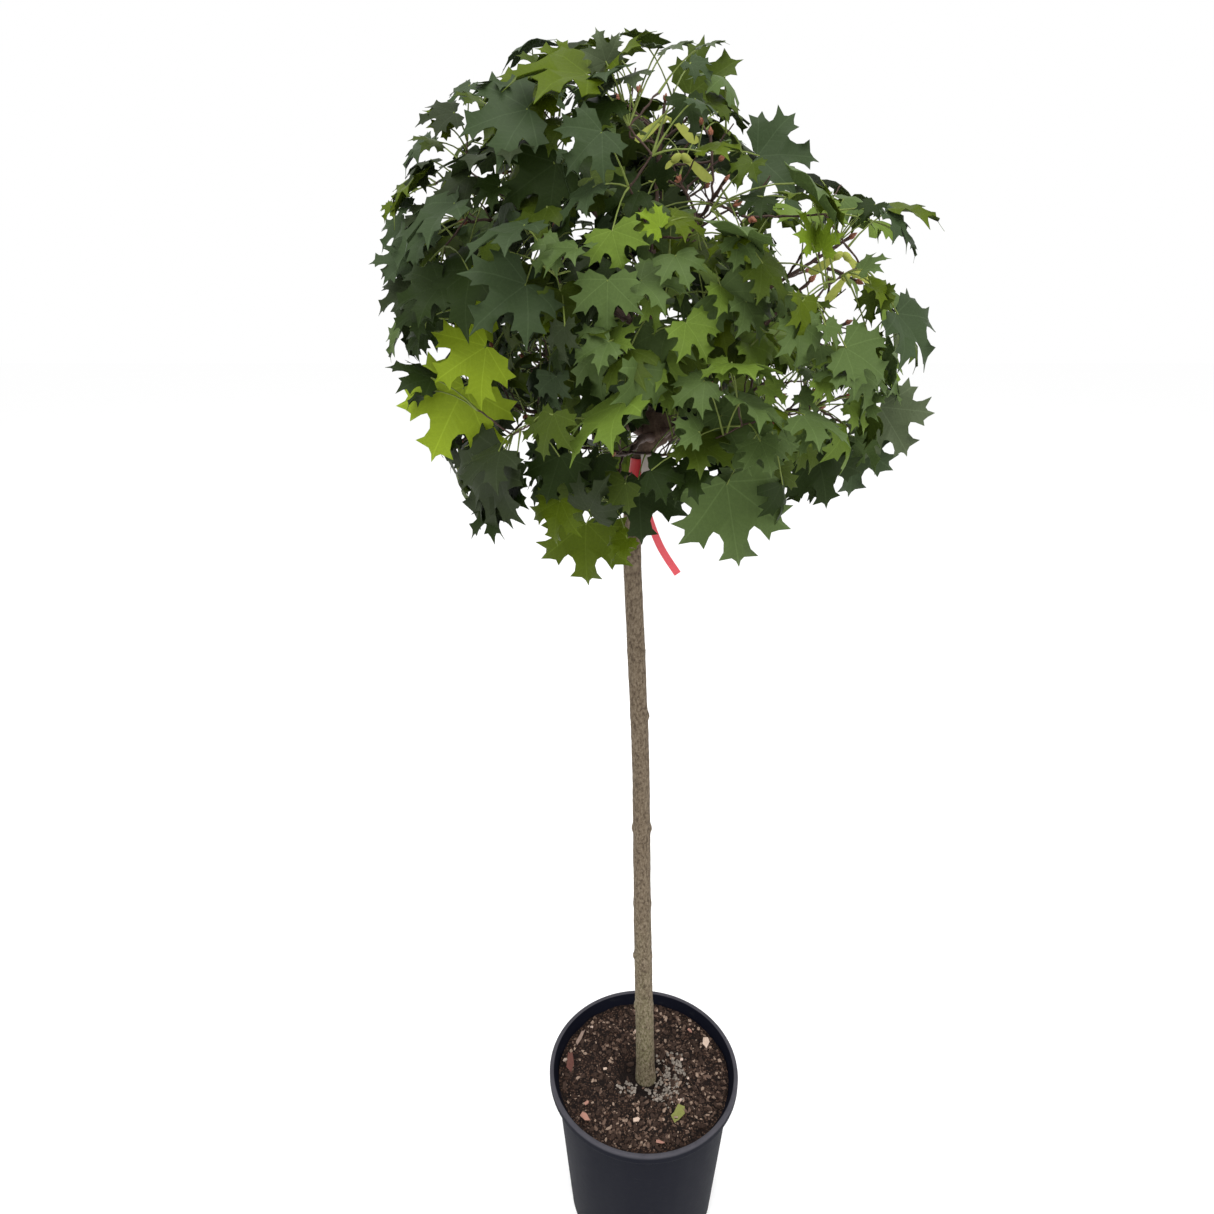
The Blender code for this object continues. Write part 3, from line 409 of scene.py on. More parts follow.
class GeometryTree(Graph):
    """A Geometry Nodes tree with named inputs, run once on an object to make a plain mesh."""

    def __init__(self, name: str, inputs: dict[str, str]) -> None:
        """Make the tree's sockets.

        Args:
            name: The tree's name.
            inputs: The kind of each named input.
        """
        super().__init__(bpy.data.node_groups.new(name, "GeometryNodeTree"))
        ways = [("Geometry", "Geometry", "OUTPUT"), ("Geometry", "Geometry", "INPUT")]
        for label, kind, way in ways + [(label, kind, "INPUT") for label, kind in inputs.items()]:
            self.tree.interface.new_socket(label, in_out=way, socket_type="NodeSocket" + kind)
        self.entry = self.add("NodeGroupInput")

    def given(self, label: str) -> Value:
        """Return one of the tree's inputs."""
        return self.out(self.entry, label)

    def attribute(self, label: str, kind: str) -> Value:
        """Return an attribute of the geometry by its name."""
        return self.make("GeometryNodeInputNamedAttribute", {"Name": label}, data_type=kind)

    def set_patterns(self, points: Value, pick: Value, turn: Value, size: Value) -> Value:
        """Set one of the given patterns on each point.

        Args:
            points: The points.
            pick: The number of the pattern.
            turn: Its rotation.
            size: Its scale.

        Returns:
            The instances.
        """
        patterns = self.make("GeometryNodeCollectionInfo", {
            "Collection": self.given("Patterns"), "Separate Children": True, "Reset Children": True})
        return self.make("GeometryNodeInstanceOnPoints", {
            "Points": points, "Instance": patterns, "Pick Instance": True,
            "Instance Index": pick, "Rotation": turn, "Scale": size})

    def close(self, geometry: Value, *finishes: str) -> None:
        """End the tree: realize instances and set materials.

        Args:
            geometry: What the tree has made.
            finishes: The inputs that hold materials. The second goes on faces marked "under".
        """
        geometry = self.make("GeometryNodeRealizeInstances", {"Geometry": geometry})
        for number, label in enumerate(finishes):
            inputs = {"Geometry": geometry, "Material": self.given(label)}
            if number:
                inputs["Selection"] = self.attribute("under", "BOOLEAN")
            geometry = self.make("GeometryNodeSetMaterial", inputs)
        self.feed(self.add("NodeGroupOutput"), {"Geometry": geometry})

    def run(self, base: Object, name: str, values: dict[str, Any]) -> Object:
        """Make a plain mesh object from the tree's result.

        Args:
            base: The object that the tree starts from, which is removed.
            name: The new object's name.
            values: The value of each named input.

        Returns:
            The new object.
        """
        modifier = base.modifiers.new("made", "NODES")
        modifier.node_group = self.tree
        for item in self.tree.interface.items_tree:
            if item.in_out == "INPUT" and item.name in values:
                modifier[item.identifier] = values[item.name]
        base.update_tag()
        graph = bpy.context.evaluated_depsgraph_get()
        mesh = bpy.data.meshes.new_from_object(base.evaluated_get(graph))
        base.modifiers.remove(modifier)
        bpy.data.meshes.remove(base.data)
        mesh.name = name
        for attribute in [item for item in mesh.attributes if item.name in ("under", "radius", "share")]:
            mesh.attributes.remove(attribute)
        return linked(name, mesh)


def place_tree() -> GeometryTree:
    """Return a tree that sets patterns on points, picked, turned and sized by attributes."""
    tree = GeometryTree("set_on_points", {"Patterns": "Collection", "Upper": "Material", "Under": "Material"})
    turn = tree.make("FunctionNodeEulerToRotation", {0: tree.attribute("turn", "FLOAT_VECTOR")})
    pick, size = tree.attribute("pattern", "INT"), tree.attribute("size", "FLOAT_VECTOR")
    tree.close(tree.set_patterns(tree.given("Geometry"), pick, turn, size), "Upper", "Under")
    return tree


def tube_tree() -> GeometryTree:
    """Return a tree that makes a closed tube along each line of edges, as thick as its radius attribute."""
    tree = GeometryTree("tubes", {"Sides": "Int", "Finish": "Material"})
    lines = tree.make("GeometryNodeMeshToCurve", {"Mesh": tree.given("Geometry")})
    ring = tree.make("GeometryNodeCurvePrimitiveCircle", {"Resolution": tree.given("Sides"), "Radius": 1.0})
    tubes = tree.make("GeometryNodeCurveToMesh", {
        "Curve": lines, "Profile Curve": ring, "Scale": tree.attribute("radius", "FLOAT"), "Fill Caps": True})
    tree.close(tree.make("GeometryNodeSetShadeSmooth", {"Geometry": tubes}), "Finish")
    return tree


def scatter_tree() -> GeometryTree:
    """Return a tree that strews patterns over a surface, as thickly as its share attribute says."""
    sizes = ("Density", "Spacing", "Smallest", "Largest", "Tilt", "Sink")
    kinds = {"Patterns": "Collection", **dict.fromkeys(sizes, "Float"), "Seed": "Int", "Finish": "Material"}
    tree = GeometryTree("strewn", kinds)
    seed, tilt = tree.given("Seed"), tree.given("Tilt")
    points = tree.add("GeometryNodeDistributePointsOnFaces", {
        "Mesh": tree.given("Geometry"), "Distance Min": tree.given("Spacing"), "Seed": seed,
        "Density Max": tree.given("Density"), "Density Factor": tree.attribute("share", "FLOAT"),
    }, distribute_method="POISSON")
    low, high = (
        tree.make("ShaderNodeCombineXYZ", {0: tilt * way, 1: tilt * way, 2: turn})
        for way, turn in ((-1.0, 0.0), (1.0, FULL_TURN)))
    tumble = tree.make("FunctionNodeRandomValue", {0: low, 1: high, "Seed": seed}, data_type="FLOAT_VECTOR")
    turn = tree.make("FunctionNodeRotateRotation", {
        "Rotation": tree.out(points, "Rotation"),
        "Rotate By": tree.make("FunctionNodeEulerToRotation", {0: tumble})}, rotation_space="LOCAL")
    size = tree.make("FunctionNodeRandomValue", {
        "Min": tree.given("Smallest"), "Max": tree.given("Largest"), "Seed": seed + 7.0})
    pick = tree.make("FunctionNodeRandomValue", {"Min": 0, "Max": 99, "Seed": seed + 3.0}, data_type="INT")
    sunk = tree.make("ShaderNodeVectorMath", {
        "Vector": tree.out(points, "Normal"), "Scale": tree.given("Sink") * -1.0}, operation="SCALE")
    moved = tree.make("GeometryNodeSetPosition", {"Geometry": tree.out(points, "Points"), "Offset": sunk})
    tree.close(tree.set_patterns(moved, pick, turn, size), "Finish")
    return tree


def linked(name: str, data: Any) -> Object:
    """Return a new object of some data, linked to the scene."""
    made = bpy.data.objects.new(name, data)
    bpy.context.scene.collection.objects.link(made)
    return made


def plain(name: str, verts: Sequence[Any], faces: Sequence[Any] = (), edges: Sequence[Any] = ()) -> Object:
    """Make an object of points, faces and edges just as they are given."""
    mesh = bpy.data.meshes.new(name)
    mesh.from_pydata(verts, edges, faces)
    return linked(name, mesh)


def mark(made: Object, name: str, kind: str, values: Sequence[Any], domain: str = "POINT") -> None:
    """Give an object's mesh an attribute."""
    key = "vector" if kind == "FLOAT_VECTOR" else "value"
    made.data.attributes.new(name, kind, domain).data.foreach_set(key, values)


def shade(made: Object, sharp_angle: float) -> Object:
    """Shade an object smooth, apart from edges sharper than an angle in degrees, and return it."""
    made.data.shade_smooth()
    made.data.set_sharp_from_angle(angle=math.radians(sharp_angle))
    return made


def shell(name: str, mesh: Mesh, sharp_angle: float = 0.0, finish: Material | None = None) -> Object:
    """Make a closed piece, with its faces pointing outwards.

    Args:
        name: The object's name.
        mesh: Its points and faces.
        sharp_angle: The angle in degrees past which its edges stay sharp, or 0 for flat faces.
        finish: Its finish.

    Returns:
        The object, linked to the scene.
    """
    made = plain(name, *mesh)
    shape = bmesh.new()
    shape.from_mesh(made.data)
    bmesh.ops.remove_doubles(shape, verts=shape.verts[:], dist=1e-7)
    bmesh.ops.recalc_face_normals(shape, faces=shape.faces[:])
    shape.to_mesh(made.data)
    shape.free()
    if finish:
        made.data.materials.append(finish)
    return shade(made, sharp_angle) if sharp_angle else made


def settle(made: Object, nodes: Sequence[str] = ()) -> None:
    """Let a finished piece ride on the body and stand for nodes.

    Args:
        made: The piece.
        nodes: The solids that it stands for.
    """
    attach(made, BODY)
    if nodes:
        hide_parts(*nodes)
    LOG.info("%s: %d faces", made.name, len(made.data.polygons))


def pattern_set(name: str, *shapes: Object) -> Collection:
    """Take objects out of the scene into a set of patterns."""
    group = bpy.data.collections.new("patterns_" + name)
    for shape in shapes:
        bpy.context.scene.collection.objects.unlink(shape)
        group.objects.link(shape)
    return group


def clear_patterns() -> None:
    """Remove every set of patterns and its objects."""
    for group in [group for group in bpy.data.collections if group.name.startswith("patterns_")]:
        for shape in list(group.objects):
            bpy.data.objects.remove(shape)
        bpy.data.collections.remove(group)


def strew(
    name: str, ground: Object, scatter: GeometryTree, share: Callable[[Vector], float],
    values: dict[str, Any],
) -> Object:
    """Strew one kind of thing over a surface.

    Args:
        name: The new piece's name.
        ground: The surface, which stays.
        scatter: The tree that strews.
        share: How thickly they lie at a place, from 0 to 1.
        values: The tree's inputs.

    Returns:
        The new piece.
    """
    base = linked(name, ground.data.copy())
    mark(base, "share", "FLOAT", [share(vert.co) for vert in base.data.vertices])
    return scatter.run(base, name, values)


def join_meshes(parts: Sequence[Mesh]) -> Mesh:
    """Put several meshes into one list of points and faces."""
    verts, faces = [], []
    for more_verts, more_faces in parts:
        first = len(verts)
        verts += more_verts
        faces += [tuple(number + first for number in face) for face in more_faces]
    return verts, faces


def ramp(first: float, last: float, count: int) -> list[float]:
    """Return evenly spaced values from the first to the last."""
    return [first + (last - first) * number / (count - 1) for number in range(count)]


def smooth(share: float) -> float:
    """Return a share eased in and out, from 0 to 1."""
    share = max(0.0, min(1.0, share))
    return share * share * (3.0 - 2.0 * share)


def bell(away: float) -> float:
    """Return 1 at 0, falling off to both sides."""
    return math.exp(-(away ** 2))


def ripple(x: float, y: float, z: float) -> float:
    """Return smooth noise at a place."""
    return noise.noise(Vector((x, y, z)))


def shaken(rng: random.Random, size: float) -> Vector:
    """Return a random step, up to a size along each axis."""
    return Vector([rng.uniform(-size, size) for _ in range(3)])


def flow(low: Any, high: Any, slopes: Sequence[Any], share: float, span: float = 1.0) -> Any:
    """Return what lies at a share between two points or numbers, smooth by the slope at each."""
    rest = 1.0 - share
    return (
        low * ((1 + 2 * share) * rest * rest) + high * (share * share * (3 - 2 * share))
        + (slopes[0] * rest - slopes[1] * share) * (span * share * rest))


def bezier(start: Vector, control: Vector, end: Vector, count: int) -> list[Vector]:
    """Return points along a quadratic curve."""
    return [start * (1 - t) ** 2 + control * 2 * t * (1 - t) + end * t * t for t in ramp(0.0, 1.0, count)]


def unit_ring(axis: Vector, sides: int) -> list[Vector]:
    """Return unit vectors square to an axis, evenly spaced round it."""
    side = axis.orthogonal().normalized()
    other = axis.cross(side).normalized()
    turns = [FULL_TURN * number / sides for number in range(sides)]
    return [side * math.cos(turn) + other * math.sin(turn) for turn in turns]


def sideways(along: Vector, turn: float) -> Vector:
    """Return the direction square to another, at a turn round it."""
    level = along.orthogonal().normalized()
    return level * math.cos(turn) + along.cross(level) * math.sin(turn)


def ring_faces(first: int, rings: int, count: int, round_again: bool = False) -> list[tuple[int, ...]]:
    """Return the faces between rings of points, and from the last to the first where they close."""
    faces = []
    for ring in range(rings if round_again else rings - 1):
        low, high = first + ring * count, first + (ring + 1) % rings * count
        for side in range(count):
            after = (side + 1) % count
            faces.append((low + side, low + after, high + after, high + side))
    return faces


def turned(rings: Sequence[Sequence[Vector]], start: Vector, end: Vector) -> Mesh:
    """Make a closed shell of rings of points, shut by one point at each end."""
    count = len(rings[0])
    last = 2 + (len(rings) - 1) * count
    faces = ring_faces(2, len(rings), count)
    for side in range(count):
        after = (side + 1) % count
        faces += [(0, 2 + after, 2 + side), (1, last + side, last + after)]
    return [start, end] + [point for ring in rings for point in ring], faces


def tube(
    path: Sequence[Vector], radii: Sequence[float], sides: int, start_normal: Vector | None = None,
    relief: Callable[[Vector, float], float] | None = None, level: bool = False,
) -> Mesh:
    """Make a closed tube along a path.

    Args:
        path: The points of its middle line.
        radii: Its radius at each point.
        sides: The number of its sides.
        start_normal: The direction that the first ring is square to, if not the path's own.
        relief: How far the surface stands out at a point, for a point and a radius.
        level: Whether every ring lies level.

    Returns:
        Points and faces.
    """
    verts = []
    last = len(path) - 1
    tangents = [(path[min(n + 1, last)] - path[max(n - 1, 0)]).normalized() for n in range(last + 1)]
    if start_normal is not None:
        tangents[0] = start_normal
    ring = unit_ring(UP if level else tangents[0], sides)
    for number, (centre, radius) in enumerate(zip(path, radii)):
        if number and not level:
            turn = tangents[number - 1].rotation_difference(tangents[number])
            ring = [turn @ spoke for spoke in ring]
        for spoke in ring:
            point = centre + spoke * radius
            if relief is not None:
                point += spoke * relief(point, radius)
            verts.append(point)
    ends = [tuple(reversed(range(sides))), tuple(range(last * sides, (last + 1) * sides))]
    return verts, ends[:1] + ring_faces(0, last + 1, sides) + ends[1:]


@dataclass(frozen=True)
class Knot:
    """A joint of the trunk: its height, its swelling, and the angle and size of each bud or scar."""

    height: float
    swell: float
    bumps: tuple[Pair, ...] = ()


@dataclass
class Trunk:
    """The clear stem: taper, lean, flared foot, knots, and the swollen head of the graft.

    A station is a height, a sideways place and a radius, and a ring of the head a rise and a radius.
    """

    stations: tuple[Triple, ...] = (
        (0.2793, 0.0045, 0.0182), (0.310, 0.0035, 0.0160), (0.490, -0.0025, 0.0147),
        (0.660, -0.0075, 0.0137), (0.920, -0.0140, 0.0128), (1.120, -0.0240, 0.0123),
        (1.280, -0.0300, 0.0121), (1.365, -0.0190, 0.0120))
    solid_sides: int = 10
    solid_step: float = 0.055
    solid_swell: float = 0.13
    knot_span: float = 0.013
    head_base: float = 1.374
    head_rings: tuple[Pair, ...] = (
        (0.0, 0.0125), (0.012, 0.0190), (0.024, 0.0215), (0.038, 0.0190), (0.048, 0.0115))
    head_shift: float = 0.016
    head_lean: float = 0.35
    sides: int = 52
    ring_step: float = 0.0022
    bump_width: float = 0.0052
    pore: Triple = (0.000924, 0.00042, 0.00022)
    knots: tuple[Knot, ...] = (
        Knot(0.447, 0.05, ((180.0, 0.0024),)),
        Knot(0.555, 0.06, ((185.0, 0.0026), (-50.0, 0.0016))),
        Knot(0.660, 0.07),
        Knot(0.802, 0.06, ((0.0, 0.0022), (178.0, 0.0020))),
        Knot(0.995, 0.04, ((2.0, 0.0026),)),
        Knot(1.097, 0.05, ((-62.0, 0.0022),)))

    @property
    def head_x(self) -> float:
        """Return the head's sideways place."""
        return self.stations[-1][1] + self.head_shift

    @property
    def head(self) -> list[Triple]:
        """Return the height, sideways place and radius of each ring of the head."""
        middle = self.head_rings[2][0]
        return [
            (self.head_base + rise, self.stations[-1][1]
             + self.head_shift * min(1.0, self.head_lean + rise / middle), radius)
            for rise, radius in self.head_rings]

    def along(self, height: float) -> Pair:
        """Return the sideways place and the radius at a height, smooth between stations."""
        rows = self.stations
        first = next((n for n in range(len(rows) - 1) if height <= rows[n + 1][0]), len(rows) - 2)
        low, high = rows[first:first + 2]
        before, after = rows[max(first - 1, 0)], rows[min(first + 2, len(rows) - 1)]
        span = high[0] - low[0]
        share = max(0.0, min(1.0, (height - low[0]) / span))
        slopes = (high[1] - before[1]) / (high[0] - before[0]), (after[1] - low[1]) / (after[0] - low[0])
        return flow(low[1], high[1], slopes, share, span), low[2] + (high[2] - low[2]) * share

    def column(self, rows: Sequence[Triple], sides: int, relief: Callable | None = None) -> Mesh:
        """Return the shell of level rings, from each ring's height, sideways place and radius."""
        path = [Vector((x, 0.0, height)) for height, x, _ in rows]
        return tube(path, [row[2] for row in rows], sides, None, relief, True)

    def solid(self) -> Mesh:
        """Return the solid trunk, which the crown grows from."""
        foot, top, knots = self.stations[0][0], self.stations[-1][0], [knot.height for knot in self.knots]
        heights = {
            height for height in ramp(foot, top, round((self.head_base - foot) / self.solid_step))
            if all(abs(height - knot) > 1.6 * self.knot_span for knot in knots)}
        heights |= {knot + step for knot in knots for step in (-self.knot_span, 0.0, self.knot_span)}
        rows = []
        for height in sorted(heights | {self.stations[1][0]}):
            x, radius = self.along(height)
            swell = self.solid_swell if min(abs(height - knot) for knot in knots) < 1e-9 else 0.0
            rows.append((height, x, radius * (1.0 + swell)))
        return self.column(rows + self.head, self.solid_sides)

    def section(self, height: float) -> Pair:
        """Return the sideways place and the radius at any height, the head included."""
        if height <= self.stations[-1][0]:
            x, radius = self.along(height)
            width = self.knot_span * 0.55
            return x, radius * (1.0 + sum(
                knot.swell * bell((height - knot.height) / width) for knot in self.knots))
        rows = [self.stations[-1], *self.head]
        low, high = next(
            (pair for pair in zip(rows, rows[1:]) if height <= pair[1][0]), (rows[-2], rows[-1]))
        share = smooth((height - low[0]) / (high[0] - low[0]))
        return low[1] + (high[1] - low[1]) * share, low[2] + (high[2] - low[2]) * share

    def relief(self, point: Vector, radius: float) -> float:
        """Return how far the bark stands out at a point of its surface."""
        x, y, z = point
        turn = math.degrees(math.atan2(y, x - self.section(z)[0]))
        rough = 1.0 + 5.0 * smooth((z - self.head_base) / 0.012)
        fissures = ripple(x * 420.0, y * 420.0, z * 85.0)
        warts = ripple(x * 190.0 + 7.0, y * 190.0, z * 130.0)
        waves = ripple(x * 30.0, y * 30.0 + 3.0, z * 22.0)
        out = 0.00022 * fissures + 0.00026 * warts * rough + 0.0005 * waves
        for knot in self.knots:
            rise = z - knot.height
            if abs(rise) > 4.0 * self.bump_width:
                continue
            out -= 0.0005 * bell((rise - 0.0035) / 0.0012)
            for angle, size in knot.bumps:
                side = math.radians((turn - angle + 180.0) % 360.0 - 180.0) * radius
                span = math.hypot(side, rise) / self.bump_width
                out += size * bell(span) - 0.4 * size * bell(span * 2.6)
        return out

    def build(self, finish: Material) -> Object:
        """Build the bark of the trunk and the head."""
        foot, top = self.stations[0][0], self.head[-1][0]
        heights = ramp(foot, top, round((top - foot) / self.ring_step))
        rows = [(height, *self.section(height)) for height in heights]
        return shell("trunk_bark", self.column(rows, self.sides, self.relief), 60.0, finish)

    def pores(self, bark: Object, scatter: GeometryTree, finish: Material) -> Object:
        """Strew raised pores over the bark below the head."""
        long, wide, high = self.pore
        ring = [Vector((spoke.x * long, spoke.y * wide, 0.0)) for spoke in unit_ring(UP, 7)]
        lens = shell("pore", turned([ring], UP * high, UP * high * -0.5), 50.0)
        return strew("trunk_pores", bark, scatter, lambda place: float(place.z < self.head_base), {
            "Patterns": pattern_set("pore", lens), "Density": 9000.0, "Spacing": 0.0042, "Smallest": 0.8,
            "Largest": 1.9, "Tilt": 0.0, "Sink": 0.00004, "Seed": 31, "Finish": finish})


@dataclass
class Leader:
    """The upright shoot that stands on the head."""

    base: float
    axis_x: float
    top: float = 1.655
    radii: Pair = (0.0085, 0.0042)
    solid_sides: int = 8
    solid_rings: int = 9
    sway: float = 0.006
    lean: float = 0.004
    sides: int = 22
    rings: int = 110
    scar_spacing: float = 0.062

    def x(self, height: float) -> float:
        """Return the sideways place at a height."""
        share = (height - self.base) / (self.top - self.base)
        return self.axis_x - self.sway * math.sin(math.pi * share) - self.lean * share

    def tip(self) -> Vector:
        """Return the middle of the leader's top."""
        return Vector((self.x(self.top), 0.0, self.top))

    def path(self, count: int) -> list[Vector]:
        """Return evenly spaced points of the middle line."""
        return [Vector((self.x(height), 0.0, height)) for height in ramp(self.base, self.top, count)]

    def solid(self) -> Mesh:
        """Return the solid leader, which the crown grows from."""
        radii = ramp(*self.radii, self.solid_rings)
        return tube(self.path(self.solid_rings), radii, self.solid_sides, level=True)

    def build(self, finish: Material) -> Object:
        """Build the leader with its rings of old scars."""
        radii = [
            radius * (1.0 + scar_swell(height - self.base, self.scar_spacing))
            for height, radius in zip(ramp(self.base, self.top, self.rings), ramp(*self.radii, self.rings))]
        mesh = tube(self.path(self.rings), radii, self.sides, None, shoot_relief)
        return shell("leader_bark", mesh, 60.0, finish)


def scar_swell(run: float, spacing: float) -> float:
    """Return the swelling at a place along a shoot whose leaf scars are evenly spaced."""
    away = (run + spacing / 2) % spacing - spacing / 2
    return 0.22 * bell(away / 0.0045) - 0.08 * bell((away - 0.006) / 0.0015)


def shoot_relief(point: Vector, radius: float) -> float:
    """Return how far young bark stands out at a point of its surface."""
    x, y, z = point
    fine, broad = ripple(x * 500.0, y * 500.0, z * 180.0), ripple(x * 120.0, y * 120.0, z * 90.0)
    return radius * (0.030 * fine + 0.055 * broad)


@dataclass(frozen=True)
class Mass:
    """One mass of foliage: where its bough leaves, its middle, its reach and its fullness."""

    name: str
    parent: str
    leaves_at: float
    middle: Triple
    reach: float
    fullness: float
    seed: int


@dataclass(frozen=True)
class Feature:
    """A leaf or a pair of winged seeds that stands out: its stalk's end, its tip and its tint.

    A leaf without a tint has its place in the growth, but the crown is open there.
    """

    mass: str
    junction: Triple
    tip: Triple
    tint: Tint | None = None
    facing: Vector = VIEW
    width: float = 1.0
    seeds: bool = False


@dataclass(frozen=True)
class Sight:
    """How the photo sees the plant: the camera's place and pitch, its focal length and middle in pixels."""

    eye: Triple = (-0.0633, -1.027, 1.555)
    pitch: float = math.radians(21.0)
    focal: float = 810.0
    middle: float = 607.0

    def place(self, x: float, y: float, depth: float) -> Vector:
        """Return the point that a pixel shows in the plane y = depth."""
        slope = math.tan(self.pitch + math.atan((y - self.middle) / self.focal))
        away = depth - self.eye[1]
        along = away * (math.cos(self.pitch) + slope * math.sin(self.pitch))
        across = self.eye[0] + (x - self.middle) * along / self.focal
        return Vector((across, depth, self.eye[2] - away * slope))

    def pixel(self, point: Vector) -> Pair:
        """Return the pixel that shows a point."""
        across, away, drop = point.x - self.eye[0], point.y - self.eye[1], self.eye[2] - point.z
        along = away * math.cos(self.pitch) + drop * math.sin(self.pitch)
        down = drop * math.cos(self.pitch) - away * math.sin(self.pitch)
        return self.middle + self.focal * across / along, self.middle + self.focal * down / along


SIGHT = Sight()


@dataclass(frozen=True)
class FrontLeaf:
    """A leaf of the crown's front: tint, facing, junction and tip in pixels, width, and its depth's step."""

    tint: Tint
    facing: Vector
    x: int
    y: int
    tip_x: int
    tip_y: int
    width: float = 0.8
    inset: float = 0.0


@dataclass(frozen=True)
class Plate:
    """A leaf or a pair of seeds as it grew, with the number of the twig that carries it.

    One that was set at a listed place has a width and is full, with every tooth of its outline.
    """

    root: Vector
    junction: Vector
    midrib: Vector
    normal: Vector
    length: float
    tint: Tint | None = None
    twig: int | None = None
    width: float = 0.0
    full: bool = False


MASSES = tuple(Mass(*row, seed) for seed, row in enumerate((
    ("front_low", "trunk", 1.392, (-0.05, -0.14, 1.39), 0.15, 0.9),
    ("left_low", "trunk", 1.398, (-0.19, -0.08, 1.44), 0.15, 1.0),
    ("right_low", "trunk", 1.392, (0.205, -0.04, 1.432), 0.145, 0.9),
    ("back_low", "trunk", 1.392, (0.01, 0.15, 1.39), 0.15, 0.85),
    ("front_right", "trunk", 1.398, (0.095, -0.165, 1.462), 0.14, 1.0),
    ("back_left", "trunk", 1.392, (-0.16, 0.14, 1.48), 0.15, 0.9),
    ("back_right", "trunk", 1.398, (0.15, 0.16, 1.47), 0.15, 0.9),
    ("left", "leader", 1.45, (-0.225, 0.0, 1.58), 0.155, 1.0),
    ("front", "leader", 1.47, (-0.03, -0.2, 1.54), 0.15, 1.0),
    ("right", "leader", 1.455, (0.215, 0.02, 1.51), 0.145, 0.75),
    ("back", "leader", 1.475, (-0.01, 0.2, 1.57), 0.15, 0.95),
    ("upper_left", "leader", 1.52, (-0.17, -0.12, 1.64), 0.15, 1.0),
    ("right_high", "leader", 1.5, (0.195, -0.04, 1.6), 0.14, 0.45),
    ("upper_back", "leader", 1.56, (0.01, 0.14, 1.68), 0.145, 0.9),
    ("upper_front", "leader", 1.575, (0.05, -0.11, 1.65), 0.13, 0.8),
    ("top_left", "leader", 1.6, (-0.14, 0.02, 1.7), 0.15, 1.0),
    ("top", "leader", Leader.top, (0.0, 0.0, 1.74), 0.125, 0.9)), 11))

FEATURES = [Feature(*row, seeds=True) for row in (
    ("top", (-0.002, -0.095, 1.724), (-0.005, -0.105, 1.68)),
    ("top", (0.01, -0.12, 1.686), (0.008, -0.13, 1.642)),
    ("right_high", (0.186, -0.095, 1.598), (0.18, -0.105, 1.555)),
    ("right_high", (0.205, -0.06, 1.58), (0.215, -0.075, 1.54)),
    ("upper_back", (0.06, 0.19, 1.73), (0.065, 0.205, 1.688), None, -VIEW),
    ("top_left", (-0.15, 0.11, 1.745), (-0.16, 0.125, 1.703), None, -VIEW))]
# The tints of these set leaves include painted sheen, glow and shade (see Tint).
FEATURES += [Feature(*row) for row in (
    ("left_low", (-0.21, -0.17, 1.469), (-0.252, -0.175, 1.389), Tint.LIME),
    ("left_low", (-0.181, -0.2, 1.51), (-0.236, -0.205, 1.475), Tint.LIME),
    ("upper_left", (-0.178, -0.16, 1.545), (-0.232, -0.17, 1.56), Tint.LIME),
    ("upper_left", (-0.135, -0.25, 1.565), (-0.18, -0.285, 1.533), Tint.SLATE),
    ("left_low", (-0.267, -0.06, 1.472), (-0.327, -0.07, 1.456)),
    ("left_low", (-0.188, -0.08, 1.378), (-0.238, -0.085, 1.3)),
    ("front_low", (-0.088, -0.1, 1.306), (-0.092, -0.11, 1.225), Tint.OLIVE),
    ("front_low", (-0.029, -0.14, 1.368), (-0.023, -0.15, 1.29), Tint.DARK),
    ("front_low", (-0.042, -0.18, 1.447), (-0.11, -0.195, 1.405)),
    ("front_right", (0.06, -0.2, 1.376), (0.078, -0.205, 1.275), Tint.SAGE, VIEW, 0.84),
    ("front_right", (0.047, -0.22, 1.447), (0.075, -0.26, 1.4), Tint.SAGE),
    ("right_low", (0.182, -0.08, 1.385), (0.205, -0.085, 1.317), Tint.DARK),
    ("right_low", (0.238, -0.02, 1.389), (0.25, -0.025, 1.314), Tint.SLATE),
    ("right_low", (0.262, -0.04, 1.432), (0.305, -0.05, 1.372), Tint.ASH),
    ("upper_front", (0.092, -0.08, 1.69), (0.155, -0.09, 1.695), Tint.SLATE),
    ("right_high", (0.246, -0.03, 1.632), (0.325, -0.03, 1.628)),
    ("right_high", (0.165, 0.02, 1.662), (0.228, 0.01, 1.632), None, SKY),
    ("right", (0.265, -0.06, 1.538), (0.335, -0.07, 1.506)),
    ("right", (0.219, -0.07, 1.497), (0.278, -0.09, 1.467)),
    ("left", (-0.265, -0.04, 1.615), (-0.33, -0.05, 1.58)),
    ("left", (-0.262, 0.02, 1.56), (-0.325, 0.015, 1.52), Tint.DARK),
    ("upper_left", (-0.245, -0.06, 1.69), (-0.305, -0.07, 1.65)),
    ("upper_left", (-0.141, -0.15, 1.72), (-0.165, -0.18, 1.66)),
    ("top_left", (-0.111, -0.05, 1.777), (-0.18, -0.07, 1.765)),
    ("top_left", (-0.2, 0.0, 1.735), (-0.265, -0.01, 1.7)),
    ("top", (-0.072, 0.01, 1.782), (-0.02, -0.005, 1.818), None, SKY),
    ("top", (0.0, 0.04, 1.785), (0.066, 0.025, 1.8)),
    ("top", (0.024, -0.03, 1.755), (0.072, -0.05, 1.786), Tint.MOSS))]

